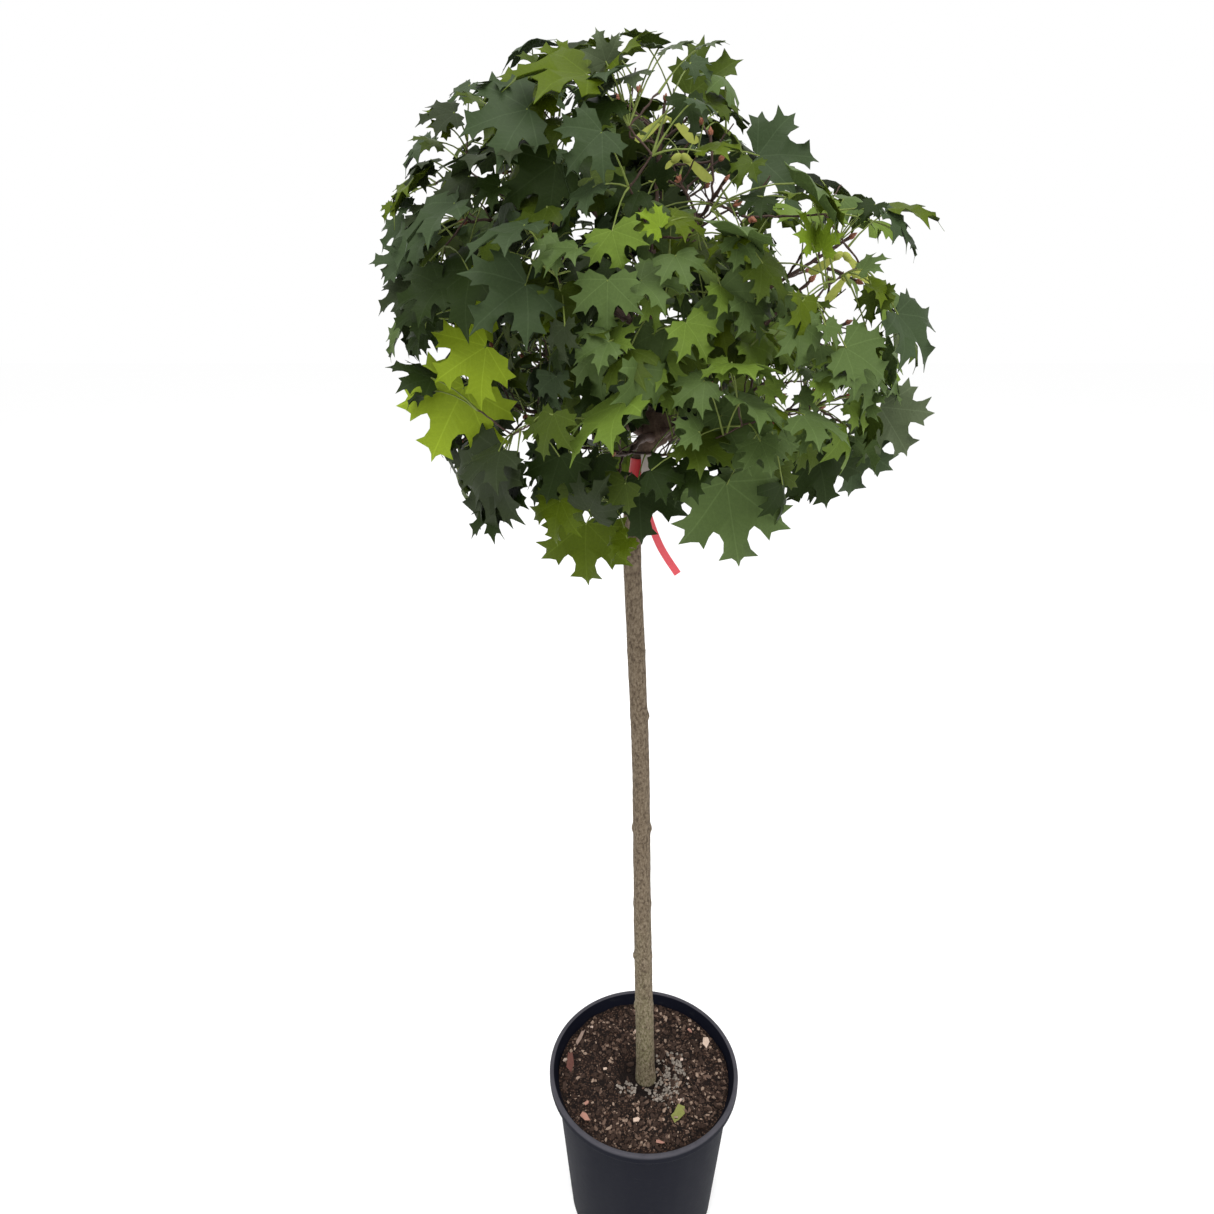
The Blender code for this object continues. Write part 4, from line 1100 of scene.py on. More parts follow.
# Each front leaf's tint follows its look, painted sheen, glow and shade included (see Tint).
FRONT_PLACES = {
    (Tint.SLATE, VIEW): (
        (529, 108, 455, 126, 0.9), (430, 140, 396, 166, 0.7), (602, 131, 564, 168, 1.05),
        (695, 98, 722, 112, 0.7), (886, 212, 917, 243, 0.65), (905, 236, 922, 256, 0.6),
        (897, 313, 940, 362, 0.85), (594, 186, 556, 217, 0.8, 0.03), (456, 202, 391, 236),
        (430, 232, 385, 262, 0.8, 0.02), (412, 205, 386, 206), (405, 226, 376, 244), (408, 262, 368, 258),
        (470, 84, 445, 104, 0.7), (690, 62, 716, 76, 0.7)),
    (Tint.OLIVE, VIEW): (
        (588, 74, 503, 60, 0.72), (568, 66, 540, 40, 0.85, 0.02), (450, 128, 427, 104),
        (612, 60, 651, 21, 0.55), (545, 92, 505, 108, 0.8, 0.03), (702, 152, 747, 141, 0.5, 0.02),
        (890, 210, 951, 211, 0.55), (737, 238, 705, 250, 0.7, 0.02), (870, 284, 901, 300, 0.7),
        (802, 300, 804, 346, 0.6), (775, 412, 798, 430, 0.7), (672, 216, 711, 233, 0.7, 0.02),
        (546, 316, 563, 333, 0.8, 0.02), (394, 206, 381, 218), (560, 500, 548, 545, 0.9, 0.03),
        (628, 538, 605, 560, 0.7, 0.02)),
    (Tint.MOSS, HIGH): ((560, 86, 522, 100, 0.7, 0.02), (690, 440, 738, 462, 1.0, 0.03)),
    (Tint.SLATE, HIGH): ((508, 86, 472, 76), (613, 72, 565, 84, 0.6), (526, 224, 459, 247)),
    (Tint.SHADE, HIGH): (
        (494, 153, 430, 160, 0.7, 0.02), (520, 140, 470, 158, 0.9, 0.02), (500, 450, 456, 484, 0.7)),
    (Tint.SHADE, VIEW): (
        (425, 165, 402, 188, 0.7), (470, 175, 430, 200, 0.8, 0.02), (565, 325, 560, 365, 0.65),
        (404, 256, 378, 275), (410, 290, 373, 306), (430, 215, 400, 222, 0.8, 0.03),
        (505, 455, 458, 525, 0.75), (497, 470, 485, 538, 0.6), (455, 112, 414, 118, 0.7)),
    (Tint.MOSS, VIEW): (
        (445, 176, 437, 203, 0.6, 0.03), (480, 100, 452, 90, 0.8, 0.02), (560, 125, 525, 135, 0.8, 0.04),
        (640, 130, 610, 112, 0.7, 0.06), (548, 205, 505, 232, 0.9, 0.03), (753, 162, 734, 184),
        (762, 262, 792, 300, 0.8, 0.01), (880, 290, 866, 322, 0.7), (797, 310, 838, 300, 0.55),
        (872, 350, 880, 330, 0.7, 0.01), (776, 262, 792, 284, 0.6, 0.04), (700, 250, 735, 262, 0.8, 0.04),
        (560, 290, 575, 330, 0.9, 0.03), (410, 185, 388, 200, 0.7, 0.02), (500, 250, 470, 272, 0.8, 0.03),
        (545, 425, 520, 436, 0.8, 0.03), (553, 413, 538, 460), (440, 142, 408, 134, 0.7, 0.02),
        (545, 68, 518, 50, 0.8, 0.02)),
    (Tint.DARK, VIEW): (
        (500, 186, 468, 203, 0.8, 0.03), (556, 162, 500, 202, 1.0, 0.05), (614, 98, 566, 113, 0.7, 0.02),
        (688, 96, 700, 136, 0.8, 0.02), (764, 196, 736, 213), (876, 204, 861, 219),
        (655, 180, 668, 150, 0.8, 0.1), (640, 190, 600, 205, 0.9, 0.06), (425, 305, 390, 326),
        (470, 268, 412, 318, 0.9, 0.02), (440, 285, 388, 300, 0.9), (425, 330, 405, 350, 0.8, 0.03),
        (432, 378, 387, 360, 0.7), (515, 480, 508, 520, 0.7, 0.01), (598, 455, 572, 500, 0.6, 0.06),
        (560, 455, 545, 505, 1.0, 0.05), (650, 470, 690, 480, 0.8, 0.02), (697, 470, 668, 500, 0.8, 0.02),
        (500, 505, 466, 534), (430, 390, 402, 402, 0.7, 0.02)),
    (Tint.ASH, HIGH): ((632, 72, 600, 86, 0.7, 0.02),),
    (Tint.ASH, VIEW): (
        (606, 62, 596, 27, 1.0), (659, 48, 643, 40, 0.6), (664, 50, 698, 36, 0.7),
        (701, 46, 729, 37, 0.55)),
    (Tint.SAGE, HIGH): (
        (795, 182, 852, 217, 0.55), (720, 228, 786, 240, 0.7), (740, 400, 798, 426),
        (803, 414, 857, 437, 0.7), (760, 440, 776, 474, 1.0, 0.03), (578, 248, 541, 260)),
    (Tint.OLIVE, HIGH): ((812, 200, 856, 220, 0.5), (770, 340, 806, 360, 0.7, 0.02)),
    (Tint.FRESH, VIEW): (
        (812, 244, 803, 208, 0.65), (822, 250, 832, 213, 0.5), (660, 228, 641, 209, 0.7)),
    (Tint.SAGE, VIEW): (
        (738, 236, 764, 268, 0.7, 0.01), (862, 270, 888, 252, 0.6), (845, 347, 893, 376, 0.9),
        (868, 395, 850, 425, 0.8, 0.02), (797, 322, 806, 371, 0.7), (865, 372, 892, 392, 0.8, 0.02),
        (780, 292, 802, 322, 0.8, 0.03), (800, 395, 822, 412, 0.7, 0.04), (820, 345, 800, 366, 0.8, 0.02),
        (860, 372, 872, 412, 0.6), (845, 368, 810, 378, 0.7), (825, 325, 843, 346, 0.7),
        (815, 430, 798, 454, 0.7), (745, 300, 768, 340, 0.8, 0.02), (608, 279, 606, 334, 0.95),
        (640, 280, 691, 284, 0.7, 0.01), (609, 341, 572, 357, 0.9), (560, 246, 530, 269, 0.8, 0.02),
        (705, 380, 672, 404, 0.8, 0.02), (640, 368, 640, 428, 0.62), (700, 432, 674, 420)),
    (Tint.MEADOW, VIEW): (
        (838, 352, 812, 366, 0.8, 0.01), (750, 345, 770, 380, 0.8, 0.03), (850, 405, 872, 430, 0.7, 0.03),
        (820, 380, 834, 403, 0.7, 0.01), (728, 364, 700, 374, 0.7), (720, 285, 745, 320, 0.8, 0.02),
        (765, 385, 790, 402, 0.8, 0.03), (612, 230, 622, 270, 1.2), (611, 341, 636, 322, 0.8, 0.01),
        (686, 322, 712, 359), (655, 350, 690, 385, 0.8, 0.03), (648, 300, 662, 330, 0.7, 0.02),
        (600, 422, 624, 441, 0.6, 0.02)),
    (Tint.MEADOW, HIGH): ((730, 362, 792, 367, 0.7), (622, 402, 560, 455, 0.6)),
}

SKY_GAPS = (
    (432, 465, 124, 138), (418, 442, 137, 151), (467, 481, 144, 151), (437, 494, 161, 206),
    (536, 560, 98, 120), (550, 559, 134, 149), (620, 690, 60, 95), (690, 706, 147, 153),
    (700, 735, 175, 197), (740, 770, 180, 200), (713, 750, 210, 230), (558, 572, 180, 188),
    (543, 558, 202, 209), (579, 596, 213, 220), (562, 576, 241, 249), (632, 642, 252, 265),
    (574, 586, 267, 276), (702, 719, 271, 284), (651, 669, 305, 319), (665, 679, 334, 344),
    (775, 816, 228, 276), (836, 909, 233, 266), (813, 854, 284, 306), (813, 850, 309, 338),
    (854, 892, 320, 337), (761, 814, 372, 394), (776, 809, 394, 415), (819, 861, 391, 414),
    (380, 406, 280, 311), (432, 459, 300, 352), (646, 666, 434, 466), (661, 696, 456, 469),
    (678, 706, 471, 491), (666, 696, 514, 560), (462, 494, 358, 384), (509, 524, 449, 480),
    (532, 538, 346, 376), (541, 560, 110, 118), (667, 690, 60, 112))

OUTSIDE = (
    (748, 1100, -60, 118), (816, 1100, 100, 178), (862, 1100, 150, 190), (956, 1100, 150, 300),
    (926, 1100, 266, 298), (945, 1100, 290, 380), (925, 1100, 380, 520), (904, 1100, 465, 520),
    (880, 1100, 480, 620), (842, 1100, 514, 620), (796, 1100, 534, 620), (766, 1100, 562, 620),
    (645, 1100, 584, 640), (200, 490, -60, 68), (200, 525, -60, 36), (200, 600, -60, 24),
    (660, 748, -60, 28), (200, 458, 60, 84), (200, 424, 60, 98), (200, 400, 60, 160), (200, 378, 60, 250),
    (200, 366, 200, 330), (200, 382, 300, 352), (200, 392, 395, 415), (200, 412, 415, 442),
    (200, 424, 440, 472), (200, 446, 470, 500), (200, 456, 500, 530), (200, 478, 530, 548),
    (200, 543, 548, 600), (200, 572, 578, 640))

WINDOWS = (
    (619, 652, 434, 480, -0.012), (646, 670, 410, 450, -0.02), (628, 697, 119, 150, -0.095),
    (655, 712, 150, 198, -0.12), (797, 853, 256, 292, -0.06), (647, 660, 140, 197, 0.0),
    (625, 670, 74, 135, -0.03), (620, 645, 526, 600, 0.0), (660, 697, 540, 576, -0.03),
    (748, 815, 112, 190, -0.1))

# Each opening's left, right, top and bottom edge in pixels, and how far back it is free.
OPENINGS = [(*edges, 1.0) for edges in SKY_GAPS + OUTSIDE] + list(WINDOWS)

# Where each bare shoot that shows starts, where its buds are, and its radius.
LIMBS = (
    ((0.103, -0.08, 1.518), (0.152, -0.1, 1.57), 0.0026),
    ((-0.04, -0.03, 1.715), (-0.03, -0.03, 1.757), 0.0016),
    ((0.005, -0.09, 1.68), (0.03, -0.1, 1.716), 0.0015),
    ((0.02, -0.11, 1.66), (0.048, -0.12, 1.681), 0.0015),
    ((0.03, -0.11, 1.62), (0.064, -0.125, 1.64), 0.0015),
    ((0.022, -0.015, 1.745), (0.018, -0.02, 1.775), 0.0010),
    ((-0.03, -0.05, 1.548), (0.01, -0.06, 1.575), 0.0020),
    ((-0.025, -0.06, 1.575), (-0.015, -0.06, 1.555), 0.0014))


class Zone(Enum):
    """A part of the crown, with the tints that its leaves have and how common each is. The shares paint the
    crown's light and shade.
    """

    # Painted shade: the crown's inside is dealt the darkest tints.
    INNER = ((Tint.DEEP, 3), (Tint.DARK, 4), (Tint.SHADE, 2), (Tint.OLIVE, 1))
    # Painted sheen and glow on the top, which faces the sky.
    UPPER = ((Tint.SLATE, 2), (Tint.SAGE, 2), (Tint.OLIVE, 3), (Tint.MOSS, 3), (Tint.SHADE, 2))
    # Painted shade: the left is dealt darker tints.
    LEFT = ((Tint.SLATE, 3), (Tint.SHADE, 3), (Tint.DARK, 3), (Tint.SAGE, 1), (Tint.MOSS, 2))
    # Painted light: the right is dealt lighter greens.
    RIGHT = ((Tint.MEADOW, 5), (Tint.SAGE, 5), (Tint.MOSS, 2), (Tint.OLIVE, 2))
    # Painted shade: the underside is dealt dark tints.
    LOWER = ((Tint.DARK, 4), (Tint.MOSS, 3), (Tint.SHADE, 2), (Tint.OLIVE, 1))


class Clearance:
    """What has grown so far, with a test of whether a new piece is clear of it."""

    def __init__(self) -> None:
        """Start with nothing."""
        self.grown: list[tuple[list[float], list[float], BVHTree]] = []

    @staticmethod
    def box(verts: Sequence[Vector]) -> tuple[list[float], list[float]]:
        """Return the lowest and highest corners of some points."""
        axes = list(zip(*verts))
        return list(map(min, axes)), list(map(max, axes))

    def add(self, mesh: Mesh) -> int:
        """Take a piece in, and return its number."""
        self.grown.append((*self.box(mesh[0]), BVHTree.FromPolygons(*mesh)))
        return len(self.grown) - 1

    def is_clear(self, mesh: Mesh, skip: int | None) -> bool:
        """Tell whether a piece touches nothing that was taken in, but for one to skip."""
        low, high = self.box(mesh[0])
        near = [
            other for number, (least, most, other) in enumerate(self.grown)
            if number != skip and all(a <= b and c >= d for a, b, c, d in zip(low, most, high, least))]
        tree = BVHTree.FromPolygons(*mesh) if near else None
        return not any(tree.overlap(other) for other in near)


@dataclass(eq=False)
class Twig:
    """A stem or a side twig: its path, its radii at both ends, its number and its bearer's."""

    path: list[Vector]
    ends: Pair
    sides: int = 3
    start_normal: Vector | None = None
    number: int | None = None
    bearer: int | None = None

    def mesh(self) -> Mesh:
        """Return the twig's own closed tube."""
        return tube(self.path, ramp(*self.ends, len(self.path)), self.sides, self.start_normal)

    def at(self, share: float) -> tuple[Vector, Vector, float]:
        """Return point, heading and radius at a share of the length."""
        place = share * (len(self.path) - 1)
        number = min(int(place), len(self.path) - 2)
        part = place - number
        start, end = self.path[number:number + 2]
        wide, narrow = ramp(*self.ends, len(self.path))[number:number + 2]
        return start.lerp(end, part), (end - start).normalized(), wide * (1 - part) + narrow * part


@dataclass(frozen=True)
class Spot:
    """Where a leaf can leave a twig: its share of the length, the heading, the side and a small step."""

    twig: Twig
    share: float
    along: Vector
    side: Vector
    stagger: float = 0.0


@dataclass(frozen=True)
class CrownShape:
    """The crown's own shape: a globe with one high shoulder that slopes down on the right."""

    heart: float = 1.46
    middle: float = 1.515
    radius: float = 0.340
    half_height: float = 0.315
    fullness: float = 2.4
    shoulder_low: float = 1.620
    shoulder_reach: float = 0.296
    shoulder_slope: float = 1.7
    front_share: float = 0.90
    front_edge: float = -0.28
    front_step: float = 0.005
    front_steps: int = 96

    def radius_at(self, height: float) -> float:
        """Return the globe's radius at a height."""
        share = abs(height - self.middle) / self.half_height
        return self.radius * math.sqrt(max(0.0, 1.0 - share ** self.fullness))

    def holds(self, point: Vector) -> bool:
        """Tell whether a point lies in the globe and under its right shoulder."""
        shoulder = self.shoulder_reach - self.shoulder_slope * (point.z - self.shoulder_low)
        return math.hypot(point.x, point.y) < self.radius_at(point.z) and point.x < shoulder

    def front(self, x: float, y: float) -> float:
        """Return the depth at which a pixel's line of sight meets the globe, or passes nearest to it."""
        ratios = {}
        for number in range(self.front_steps):
            depth = self.front_edge + self.front_step * number
            point = SIGHT.place(x, y, depth)
            ratios[depth] = math.hypot(point.x, point.y) / max(self.radius_at(point.z), 1e-6)
            if ratios[depth] < self.front_share:
                return depth
        return min(ratios, key=ratios.get)

    def zone(self, point: Vector) -> Zone:
        """Return the part of the crown that a point lies in."""
        depth = math.hypot(point.x, point.y) / max(self.radius_at(point.z), 0.05)
        if depth < 0.42 and abs(point.z - self.middle) < 0.65 * self.half_height:
            return Zone.INNER
        if point.z > self.middle + 0.40 * self.half_height:
            return Zone.UPPER
        if point.z < self.middle - 0.38 * self.half_height:
            return Zone.LOWER
        return Zone.LEFT if point.x < -0.04 else Zone.RIGHT


@dataclass(frozen=True)
class Blank:
    """The coarse plate on a stalk that stands for a leaf or for seeds while the crown grows."""

    half: tuple[Pair, ...]
    centre: float
    cup: float
    thickness: float
    scale: float = 1.0
    stalk_radius: float = 0.0010
    root_radius: float = 0.0007

    def sized(self, scale: float) -> "Blank":
        """Return the same plate in another size."""
        return replace(self, scale=scale)

    def mesh(self, plate: Plate) -> Mesh:
        """Return a thin cupped plate with a mirrored outline, on a three-sided stalk."""
        root, junction, midrib, normal = plate.root, plate.junction, plate.midrib, plate.normal
        across = midrib.cross(normal).normalized()
        stalk = (junction - root).normalized()
        over = across.cross((stalk + midrib).normalized()).normalized()
        if over.dot(normal) < 0.0:
            over = -over
        root_across = (across - stalk * across.dot(stalk)).normalized()
        root_over = stalk.cross(root_across).normalized()
        if root_over.dot(over) < 0.0:
            root_over = -root_over

        def place(x: float, y: float, z: float = 0.0) -> Vector:
            """Return a point of the plate."""
            drop = self.cup * (x * x + (y - self.centre) ** 2)
            return junction + self.scale * (across * x + midrib * y - normal * drop) + normal * z

        thick, thin = self.stalk_radius, self.root_radius
        verts = [place(0.0, self.centre, side * self.thickness / 2) for side in (1, -1)]
        verts += [place(x, y) for x, y in self.half]
        verts += [junction + across * side + over * thick / 2 for side in (thick, -thick)]
        verts += [place(-x, y) for x, y in reversed(self.half[1:])]
        right, left, low = len(self.half) + 2, len(self.half) + 3, len(verts)
        verts += [
            junction - over * thick, root + (root_across + root_over / 2) * thin,
            root + (root_over / 2 - root_across) * thin, root - root_over * thin]
        root_right, root_left, root_low = low + 1, low + 2, low + 3
        faces = []
        for vertex in range(2, low):
            after = vertex + 1 if vertex + 1 < low else 2
            faces.append((0, after, vertex))
            faces += [(1, vertex, low), (1, low, after)] if vertex == right else [(1, vertex, after)]
        return verts, faces + [
            (left, right, root_right), (left, root_right, root_left), (right, low, root_low),
            (right, root_low, root_right), (low, left, root_left), (low, root_left, root_low),
            (root_right, root_low, root_left)]


LEAF = Blank(((0.0, 1.0), (0.24, 0.58), (0.62, 0.74), (0.40, 0.30), (0.52, -0.01)), 0.30, 0.22, 0.0024)
SEEDS = Blank(((0.0, 0.20), (0.24, 0.36), (0.70, 0.68), (0.84, 0.50), (0.42, 0.10)), 0.10, 0.0, 0.0022, 0.046)


def square(direction: Vector, axis: Vector) -> Vector:
    """Return a direction made square to an axis."""
    return (direction - axis * direction.dot(axis)).normalized()


@dataclass
class Crown:
    """The boughs, twigs and leaves: first the solids' own, then the finer ones among them.

    A pair of radii runs from root to tip, and a pair of lengths from the least to the greatest.
    """

    trunk: Trunk
    leader: Leader
    shape: CrownShape = CrownShape()
    bough_sides: int = 6
    bough_rings: int = 5
    bough_radii: Pair = (0.0054, 0.0034)
    bough_share: float = 0.60
    bough_arch: float = 0.42
    bough_rise: float = 0.35
    stem_sides: int = 4
    stem_radii: Pair = (0.0034, 0.0027)
    stem_bend: float = 0.10
    stem_overrun: float = 0.12
    stem_roll: float = 0.3
    twig_radii: Pair = (0.0021, 0.0020)
    twig_angle: float = math.radians(56.0)
    twig_lengths: Pair = (0.36, 0.50)
    twig_shrinks: Triple = (1.0, 0.7, 0.5)
    pair_places: Pair = (0.28, 0.66)
    pair_stagger: float = 0.022
    tip_place: float = 0.97
    leaf_places: Triple = (0.87, 0.52, 0.76)
    leaf_stagger: float = 0.0012
    feature_places: tuple[float, ...] = (0.35, 0.43, 0.60, 0.70, 0.94)
    leaf_lengths: Pair = (0.058, 0.086)
    stalk_lengths: Pair = (0.036, 0.092)
    leaf_tries: int = 16
    leaf_overreach: float = 1.12
    room: float = 1.03
    thick_room: float = 2.0
    fold: float = -0.5
    notch: float = 0.45
    clear: float = 0.60
    shoot_places: tuple[float, ...] = (0.92, 0.58, 0.30, 0.76)
    shoot_lengths: Pair = (0.20, 0.34)
    shoot_radius: float = 0.0013
    small_lengths: Pair = (0.032, 0.056)
    small_stalks: Pair = (0.022, 0.060)
    leaf_shrink: float = 0.74
    front_shake: float = 0.22
    near_tip: float = 0.008
    far_tip: float = 0.022
    least_width: float = 0.58
    front_room: float = 0.60
    longest_stalk: float = 0.078
    shoot_end: float = 0.052
    sidesteps: tuple[float, ...] = (0.0, 0.012, -0.012, 0.024, -0.024, 0.040, 0.060, 0.090)
    samples: tuple[Pair, ...] = (
        (0.0, 1.0), (0.0, 0.72), (0.0, 0.45), (0.0, 0.15), (0.13, 0.80), (0.17, 0.55), (0.40, 0.67),
        (0.66, 0.66), (0.30, 0.42), (0.71, 0.39), (0.50, 0.32), (0.30, 0.18), (0.60, 0.10),
        (0.60, -0.10), (0.30, -0.10))

    def __post_init__(self) -> None:
        """Take the trunk and the leader in."""
        self.clearance = Clearance()
        solids = {"trunk": self.trunk.solid(), "leader": self.leader.solid()}
        for solid in solids.values():
            self.clearance.add(solid)
        self.trees = {name: BVHTree.FromPolygons(*solid) for name, solid in solids.items()}
        self.boughs: dict[str, list[Vector]] = {}
        self.twigs: dict[str, list[Twig]] = {}
        self.shoots: list[Twig] = []
        self.limbs: list[Twig] = []
        self.leaves: list[Plate] = []
        self.seeds: list[Plate] = []
        self.first_plate = 0
        self.rng = {mass.name: random.Random(mass.seed) for mass in MASSES}
        self.dealer = random.Random(77)

    @property
    def stems(self) -> list[Twig]:
        """Return every mass's stem and side twigs."""
        return [twig for row in self.twigs.values() for twig in row]

    def grow(self) -> None:
        """Grow what the solids have, set the front's leaves, open the crown, and add finer shoots."""
        self.grow_solids()
        self.thin()
        self.refine()
        bearing = {leaf.twig for leaf in self.leaves + self.seeds}
        self.shoots = [shoot for shoot in self.shoots if shoot.number in bearing or shoot in self.limbs]
        bearing |= {shoot.bearer for shoot in self.shoots}
        for name, row in self.twigs.items():
            self.twigs[name] = row[:1] + [twig for twig in row[1:] if twig.number in bearing]
        LOG.info("with finer twigs: %d leaves on %d shoots", len(self.leaves), len(self.shoots))

    def grow_solids(self) -> None:
        """Grow boughs, twigs, features and leaves by the solids' own rule."""
        for mass in MASSES:
            if mass.leaves_at < self.leader.top:
                self.grow_bough(mass)
        for mass in MASSES:
            self.grow_twigs(mass)
        self.first_plate = len(self.clearance.grown)
        for feature in FEATURES:
            self.grow_feature(feature)
        spots = {mass: self.spots_of(mass) for mass in MASSES}
        for turn in range(max(map(len, spots.values()))):
            for mass, row in spots.items():
                if turn < len(row):
                    self.grow_leaf(mass, self.rng[mass.name], row[turn])
        LOG.info("grown by the solids' rule: %d leaves", len(self.leaves))

    def thin(self) -> None:
        """Set the front's leaves, and keep of the others what leaves them and the openings free."""
        grown, self.leaves = self.leaves, []
        del self.clearance.grown[self.first_plate:]
        for plate in self.seeds:
            self.clearance.add(SEEDS.mesh(plate))
        for plate in grown:
            if plate.full and plate.tint:
                self.clearance.add(LEAF.sized(plate.length).mesh(plate))
                self.leaves.append(plate)
        for start, end, radius in LIMBS:
            self.reach([Vector(start), Vector(end)], radius)
        self.limbs = list(self.shoots)
        for look, places in FRONT_PLACES.items():
            for place in places:
                self.set_leaf(FrontLeaf(*look, *place))
        for plate in grown:
            small = replace(plate, length=plate.length * self.leaf_shrink)
            if not plate.full and not self.hides(small) and self.fits(LEAF.sized(small.length), small):
                self.leaves.append(small)

    def grow_bough(self, mass: Mass) -> None:
        """Grow a tapering limb from the parent's surface to the edge of the mass."""
        middle = Vector(mass.middle)
        axis_x = self.trunk.head_x if mass.parent == "trunk" else self.leader.x(mass.leaves_at)
        axis = Vector((axis_x, 0.0, mass.leaves_at))
        out = Vector((middle.x - axis.x, middle.y - axis.y, 0.0)).normalized()
        hit, normal, _, _ = self.trees[mass.parent].ray_cast(axis + out * 0.2, -out)
        start = hit + normal * GAP
        end = start.lerp(middle, self.bough_share)
        lift = (end - start).length * self.bough_arch
        control = start + (normal + UP * self.bough_rise).normalized() * lift
        path = bezier(start, control, end, self.bough_rings)
        self.clearance.add(tube(path, ramp(*self.bough_radii, self.bough_rings), self.bough_sides, normal))
        self.boughs[mass.name] = [start, control, end, normal, (end - path[-2]).normalized()]

    def grow_twigs(self, mass: Mass) -> None:
        """Grow one stem from the bough's tip and opposite pairs of side twigs."""
        rng, middle = self.rng[mass.name], Vector(mass.middle)
        tip, _, heading = self.boughs.get(mass.name, (self.leader.tip(), UP, UP))[-3:]
        start = tip + heading * GAP
        run = (middle - start).length + self.stem_overrun * mass.reach
        aim = ((middle - start).normalized() + UP * self.stem_bend).normalized()
        path = bezier(start, start + heading * run * 0.4, start + aim * run, 4)
        stem = Twig(path, self.stem_radii, self.stem_sides, heading)
        stem.number = self.clearance.add(stem.mesh())
        self.twigs[mass.name] = [stem]
        roll = rng.uniform(-self.stem_roll, self.stem_roll)
        for number, share in enumerate(self.pair_places):
            along = stem.at(share)[1]
            level = along.cross(UP).normalized()
            turn = roll + number * math.pi / 2
            side = level * math.cos(turn) + level.cross(along) * math.sin(turn)
            for sign in (1, -1):
                root = stem.at(share + sign * self.pair_stagger)[0]
                length = mass.reach * rng.uniform(*self.twig_lengths)
                lead = along * math.cos(self.twig_angle) + side * sign * math.sin(self.twig_angle)
                lead = (lead + UP * rng.uniform(-0.05, 0.25)).normalized()
                for shrink in self.twig_shrinks:
                    twig = Twig([root, root + lead * length * shrink], self.twig_radii)
                    if self.bear(twig, stem):
                        self.twigs[mass.name].append(twig)
                        break

    def bear(self, twig: Twig, bearer: Twig) -> bool:
        """Take a twig in if it touches nothing but its bearer."""
        if not self.clearance.is_clear(twig.mesh(), bearer.number):
            return False
        twig.number, twig.bearer = self.clearance.add(twig.mesh()), bearer.number
        return True

    def spots_of(self, mass: Mass) -> list[Spot]:
        """Return each leaf's place in a mass, tips first."""
        twigs = self.twigs[mass.name]
        spots = [Spot(twig, self.tip_place, twig.at(self.tip_place)[1], UP * 0.4) for twig in twigs]
        for share in self.leaf_places:
            for twig in twigs[:1] if share == self.leaf_places[-1] else twigs:
                along = twig.at(share)[1]
                side = sideways(along, self.rng[mass.name].uniform(0.0, math.pi))
                spots += [Spot(twig, share, along, side * sign, self.leaf_stagger * sign) for sign in (1, -1)]
        return spots[:max(1, round(len(spots) * mass.fullness))]

    def blade_axes(self, junction: Vector, lead: Vector, rng: random.Random) -> tuple[Vector, Vector]:
        """Return a leaf's midrib and upper side: it faces out and up, and its tip hangs."""
        outward = junction - Vector((0.0, 0.0, self.shape.heart))
        outward.z *= 0.4
        outward.normalize()
        height = 0.5 + 0.5 * (junction.z - self.shape.middle) / self.shape.half_height
        normal = outward * (0.85 - 0.30 * height) + UP * (0.25 + 0.45 * height) + shaken(rng, 1.0) * 0.62
        normal.normalize()
        midrib = lead * 0.7 + outward * 0.35 - UP * (0.75 - 0.35 * height) + shaken(rng, 1.0) * 0.30
        return square(midrib, normal), normal

    def fits(self, shape: Blank, plate: Plate) -> bool:
        """Take a plate in if it and its stalk touch nothing but the twig that carries it."""
        roomy = replace(shape, scale=shape.scale * self.room, thickness=shape.thickness * self.thick_room)
        proxy = roomy.mesh(plate)
        if not self.clearance.is_clear(proxy, plate.twig):
            return False
        self.clearance.add(proxy)
        return True

    def try_plate(self, shape: Blank, plate: Plate) -> bool:
        """Take a plate in if its stalk meets it well and it fits."""
        stalk = (plate.junction - plate.root).normalized()
        bend, lift = stalk.dot(plate.midrib), abs(stalk.dot(plate.normal))
        if bend < self.fold or (bend < self.notch and lift < self.clear):
            return False
        return self.fits(shape, plate)

    def nearest(self, point: Vector, twigs: Sequence[Twig]) -> list[tuple[Vector, Twig]]:
        """Return the places where something can leave some twigs, the nearest first."""
        roots = [(twig.at(share)[0], twig) for twig in twigs for share in self.feature_places]
        return sorted(roots, key=lambda place: (place[0] - point).length)

    def reach(self, points: list[Vector], radius: float) -> Twig:
        """Grow a shoot from the nearest twig through points."""
        root, twig = self.nearest(points[0], self.stems + self.shoots)[0]
        shoot = Twig([root, *points], (radius * 1.2, radius), bearer=twig.number)
        shoot.number = self.clearance.add(shoot.mesh())
        self.shoots.append(shoot)
        return shoot

